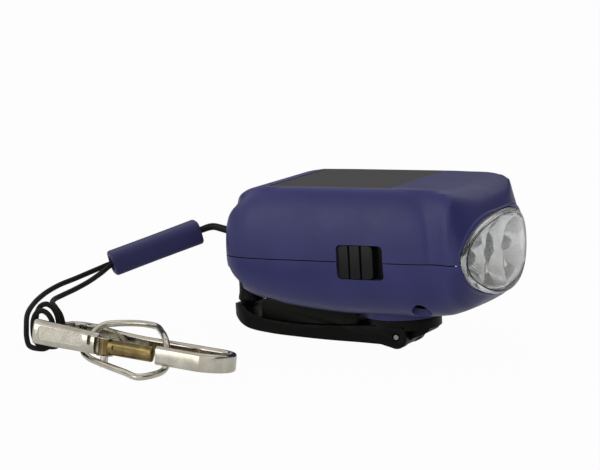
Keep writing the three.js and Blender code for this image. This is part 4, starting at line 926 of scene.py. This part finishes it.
def make_bead():
    """A squarish rubber sleeve with a round bore, from its body end to its carabiner end."""
    a, b = np.array([-67, 0, 31.8]), np.array([-88.8, -23.2, 22.0])
    side, up, along = basis(a, b)
    length, half, bore = 33.4, 4.3, 2.75
    sides = 72
    c, s = np.cos(full_turn(sides)), np.sin(full_turn(sides))

    def ring(radius, z, power):
        r = radius / (np.abs(c) ** power + np.abs(s) ** power) ** (1 / power)
        return a + np.outer(r * c, side) + np.outer(r * s, up) + along * z

    end = [(bore, 0.6, 2), (bore + 0.15, 0.12, 2), (bore + 0.5, 0.0, 2.2), (half - 0.95, 0.05, 3.2)]
    for t in np.linspace(0, math.pi / 2, 8):
        end.append((half - 0.75 + 0.75 * math.sin(t), 0.1 + 1.1 * (1 - math.cos(t)), 3.6))
    rows = end + [(half - 0.08 * math.sin(math.pi * z / length), z, 3.6)
                  for z in np.linspace(1.8, length - 1.8, 24)]
    rows += [(radius, length - z, power) for radius, z, power in end[::-1]]
    rings = np.array([ring(*row) for row in rows + rows[:1]])
    obj = new_object("bead_sleeve", rings.reshape(-1, 3), grid_faces(len(rings), sides), RUBBER)
    return piece(obj, "housing", "blue_rubber", "lanyard_bead", angle=50)


bead = make_bead()


# Carabiner.
RING_AT = np.array([-89, -72.6, 4.0])
RING_TURN = np.array(Matrix.Rotation(math.radians(-4), 3, "Z") @ Matrix.Rotation(math.radians(0.6), 3, "Y")
                     @ Matrix.Rotation(math.radians(-8), 3, "X"))
RAIL_HEIGHT, RAIL, RAIL_CORNER = 6.0, 2.8, 1.15
WIDTH, WAIST, RING_LENGTH, PIVOT, NOSE = 27.0, 18.0, 74.5, 30.0, 51.0
BAR_START, BAR_END, RIVET_BORE, LINK_RADIUS = RING_LENGTH * 0.012, 27.8, 1.3, 1.1


def ring_to_row(p):
    return (np.asarray(p, float) @ RING_TURN.T + RING_AT) * MM


def ring_outline(t):
    """The rail's line at a depth t below its outer face, from the nose round to the pivot."""
    r, c = WAIST / 2 - t, RING_LENGTH - WAIST / 2
    points = [(NOSE, t), (NOSE + 0.4, t), (c, t)]
    points += arc_points(r, c, WAIST / 2, -math.pi / 2, math.pi / 2, 40)[1:-1]
    far = [(c, WAIST - t), (RING_LENGTH * 0.6, WAIST - t), (RING_LENGTH * 0.46, WAIST - t),
           (RING_LENGTH * 0.33, WIDTH * 0.735 - t), (RING_LENGTH * 0.2, WIDTH * 0.88 - t),
           (RING_LENGTH * 0.11, WIDTH - t)]
    points += [tuple(p) for p in spline(far, 50)]
    end = [(RING_LENGTH * 0.02 + t * 0.8, WIDTH - t), (-RING_LENGTH * 0.012 + t, WIDTH * 0.93 - t * 0.6),
           (-RING_LENGTH * 0.025 + t, WIDTH * 0.84)]
    points += [tuple(p) for p in spline(end, 14)]
    points += [(t * 0.99, WIDTH * 0.1 + t * 0.2), (BAR_START + t * 0.9, t), (PIVOT, t)]
    return points


def crowned(u0, u1, v_mid, v_half, z_low, z_high, power=3.0, ends=1.2):
    """A bar along u whose section is a squarish oval and whose ends are rounded. The top height may
    slope from the first to the second of z_high."""
    steps, sides = 10, 48
    c, s = np.cos(full_turn(sides)), np.sin(full_turn(sides))
    far = 1 / (np.abs(c) ** power + np.abs(s) ** power) ** (1 / power)
    rise = np.linspace(0.08, math.pi / 2, steps)
    stations = [(u0 + ends * (1 - math.cos(a)), math.sin(a)) for a in rise]
    stations += [(u, 1.0) for u in np.linspace(u0 + ends, u1 - ends, 8)[1:-1]]
    stations += [(u1 - ends * (1 - math.cos(a)), math.sin(a)) for a in rise[::-1]]
    rings = []
    for u, full in stations:
        top = z_high[0] + (z_high[1] - z_high[0]) * (u - u0) / (u1 - u0)
        inward = ends * (1 - full) * 0.8
        v_r, z_r = v_half - inward, (top - z_low) / 2 - inward
        v, z = v_mid + v_r * far * c, (top + z_low) / 2 + z_r * far * s
        rings.append(np.stack([np.full(sides, u), v, z], axis=1))
    return outward(new_object("tool", *loft(rings), NICKEL, ring_to_row))


def ring_prism(outline, axis, low, high):
    return prism("tool", outline, axis, low, high, NICKEL, ring_to_row)


def make_frame():
    section = rounded([(0, 0), (RAIL, 0), (RAIL, RAIL_HEIGHT), (0, RAIL_HEIGHT)], RAIL_CORNER, 7)
    lines = {}
    for t, _ in section:
        lines.setdefault(round(t, 5), np.array(ring_outline(t)))
    rows = [[(*lines[round(t, 5)][i], z) for t, z in section] for i in range(len(lines[0.0]))]
    obj = outward(new_object("clip_frame", *loft(rows), NICKEL, ring_to_row))
    boolean(obj, crowned(BAR_START, BAR_END, 1.0, 1.8, 0.0, (8.4, 7.0)), "UNION")
    # The pivot's eye, the gap for the gate and the rivet's bore.
    boolean(obj, rod_tool(RAIL, PIVOT, RAIL / 2, "Z", 0, RAIL_HEIGHT, 48, ring_to_row), "UNION")
    boolean(obj, ring_prism([(26.9, -6), (35.6, -6), (35.6, 7.8), (26.9, 7.8)], "Z", 0.2, 5.8))
    boolean(obj, rod_tool(RIVET_BORE, PIVOT, RAIL / 2, "Z", -5, 12, 32, ring_to_row))
    # The bar's sunk panel, and the mouth at its end.
    panel = rounded([(3.6, 2.0), (22.2, 2.0), (22.2, 5.9), (3.6, 6.6)], 1.4)
    boolean(obj, ring_prism(panel, "Y", -3, -0.6))
    mouth = rounded([(24.0, 2.9), (25.5, 2.9), (25.5, 6.1), (24.0, 6.1)], 0.6)
    boolean(obj, ring_prism(mouth, "Y", -3, 2.1))
    piece(bevelled(obj, 0.25, 2, 40), "housing", "nickel_plated", "carabiner_body", angle=35)


def make_gate():
    obj = crowned(PIVOT - 1.2, PIVOT + 19.1, 1.4, 1.2, 0.5, (5.5, 5.5), 2.6, 0.6)
    obj.name = "clip_gate"
    boolean(obj, rod_tool(2.16, PIVOT, 1.4, "Z", 0.5, 5.5, 48, ring_to_row), "UNION")
    boolean(obj, rod_tool(RIVET_BORE, PIVOT, 1.4, "Z", -5, 12, 32, ring_to_row))
    groove = [(PIVOT + 3.4, 2.5), (PIVOT + 17.6, 2.5), (PIVOT + 17.6, 3.9), (PIVOT + 3.4, 3.9)]
    boolean(obj, ring_prism(rounded(groove, 0.6), "Y", -2, 0.65))
    dress(obj, BROWN_NICKEL)
    piece(bevelled(obj, 0.2, 2, 40), "gate", "nickel_plated", "carabiner_gate", angle=35)


def make_gate_rivet():
    pin = [(0, 0.3), (0.8, 0.3), (1.0, 0.5), (1.0, 5.5), (0.8, 5.7), (0, 5.7)]
    obj = turned("gate_rivet", pin, 32, [PIVOT, RAIL / 2, 0], NICKEL, "Z", ring_to_row)
    piece(obj, "housing", "nickel_plated", "gate_pin", angle=40)


LINK_POINTS = [
    (-68, -52.3, 8.9), (-60, -50.6, 9.4), (-52.5, -52.2, 9.6), (-46, -58.8, 9.7), (-41.5, -64.3, 9.7),
    (-38.3, -68.4, 8.8), (-36.9, -70.2, 6.2), (-36.4, -71, 3.4), (-36.3, -73.2, 1.5), (-36.6, -79.8, 1.2),
    (-39.2, -84.2, 1.2), (-46.5, -81, 1.2), (-57.5, -76, 1.3), (-67, -70.6, 1.3), (-72.2, -66, 2.2),
    (-73, -61.4, 5), (-72, -57.2, 7.8), (-70.6, -54.4, 8.7),
]


def make_link():
    obj = new_object("wire_ring", *sweep(spline(LINK_POINTS, 260, True), LINK_RADIUS, 24, True), NICKEL)
    piece(obj, "link", "nickel_plated", "wire_link", angle=60)


make_frame()
make_gate()
make_gate_rivet()
make_link()


# CAD nodes that stay.
for cad_node, cad_material in {
    "solar_panel": SOLAR, "led_board": BOARD, "main_board": BOARD, "battery_pack": CELL_FILM,
    "gear_plate": GREY_NYLON, "drive_gear": PALE_NYLON, "idler_gear": PALE_NYLON, "idler_axle": STEEL,
    "generator_can": STEEL, "generator_rotor": BRASS, "crank_shaft": STEEL, "lanyard_anchor": STEEL,
}.items():
    dress(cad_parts[cad_node], cad_material)


# Floor and light.
def backdrop_paper(name):
    """White seamless paper with a faint cloud of fibres. The camera and clear plastic find it
    nearly white, metal about half as bright, and it keeps part of the object's shadow."""
    made, tree, mm = new_material(name)
    fibre = node(tree, "TexNoise", Vector=mm, Scale=1 / 40, Detail=2).outputs[0]
    colour = node(tree, "Mix", RGBA, i0=fibre, i6=linear("#bcbcbc"), i7=linear("#c8c8c8")).outputs[2]
    paper = node(tree, "BsdfPrincipled", Base_Color=colour, Roughness=0.9)
    path = node(tree, "LightPath")
    seen = node(tree, "Math", {"operation": "MAXIMUM"}, i0=path.outputs["Is Camera Ray"],
                i1=path.outputs["Is Transmission Ray"]).outputs[0]
    seen = node(tree, "Math", {"operation": "MULTIPLY_ADD"}, i0=path.outputs["Is Glossy Ray"],
                i1=MIRRORED_SHARE, i2=seen).outputs[0]
    share = node(tree, "Math", {"operation": "MULTIPLY"}, i0=seen, i1=WHITE_SHARE).outputs[0]
    white = node(tree, "Emission", Color=linear("#ffffff"), Strength=1.0)
    mixed = node(tree, "MixShader", Fac=share, i1=paper.outputs[0], i2=white.outputs[0])
    node(tree, "OutputMaterial", Surface=mixed.outputs[0])
    return made


WHITE_SHARE, MIRRORED_SHARE = 0.97, 0.55
FLOOR_HALF, FLOOR_Z = 4000, -0.05


def make_stage():
    corners = [(-1, -1), (1, -1), (1, 1), (-1, 1)]
    verts = [(x * FLOOR_HALF, y * FLOOR_HALF, FLOOR_Z) for x, y in corners]
    new_object("floor", verts, [(0, 1, 2, 3)], backdrop_paper("white seamless paper"))
    world = bpy.data.worlds.new("studio")
    bpy.context.scene.world = world
    world.use_nodes = True
    tree = world.node_tree
    tree.nodes.clear()
    # A pale room over a dark warm band near the floor, wider behind, which metal mirrors, and a softer
    # ceiling.
    way = node(tree, "SeparateXYZ", Vector=node(tree, "TexCoord").outputs["Generated"])
    up = way.outputs["Z"]
    lift = node(tree, "Math", {"operation": "MULTIPLY_ADD"}, i0=way.outputs["Y"], i1=-0.22, i2=up)
    smooth = {"interpolation_type": "SMOOTHSTEP"}
    height = node(tree, "MapRange", smooth, Value=lift.outputs[0], From_Min=0.02, From_Max=0.3).outputs[0]
    room = node(tree, "Mix", RGBA, i0=height, i6=linear("#4a4640"), i7=linear("#f6f4f0")).outputs[2]
    over = node(tree, "MapRange", smooth, Value=up, From_Min=0.4, From_Max=0.9)
    colour = node(tree, "Mix", RGBA, i0=over.outputs[0], i6=room, i7=linear("#c4c4c4")).outputs[2]
    # A dark doorway straight ahead of the lens, for the reflector's bowls.
    ahead = node(tree, "MapRange", smooth, Value=way.outputs["X"], From_Min=0.72, From_Max=0.93, To_Max=0.9)
    colour = node(tree, "Mix", RGBA, i0=ahead.outputs[0], i6=colour, i7=linear("#1c1b1a")).outputs[2]
    sky = node(tree, "Background", Color=colour, Strength=1.0)
    node(tree, "OutputWorld", Surface=sky.outputs[0])


def area_light(name, place, aim, size, power):
    data = bpy.data.lights.new(name, "AREA")
    data.shape, data.size, data.size_y, data.energy = "RECTANGLE", *size, power
    obj = bpy.data.objects.new(name, data)
    obj.location = place
    obj.rotation_euler = (Vector(aim) - Vector(place)).to_track_quat("-Z", "Y").to_euler()
    bpy.context.scene.collection.objects.link(obj)


make_stage()
area_light("top_softbox", (-0.1, 0.1, 0.9), (0, 0, 0.02), (0.9, 0.7), 1.0)
area_light("left_softbox", (-0.53, -0.88, 0.17), (0, 0, 0.03), (0.8, 0.3), 1.3)
bpy.context.scene.view_settings.view_transform = "Standard"

bpy.context.view_layer.update()
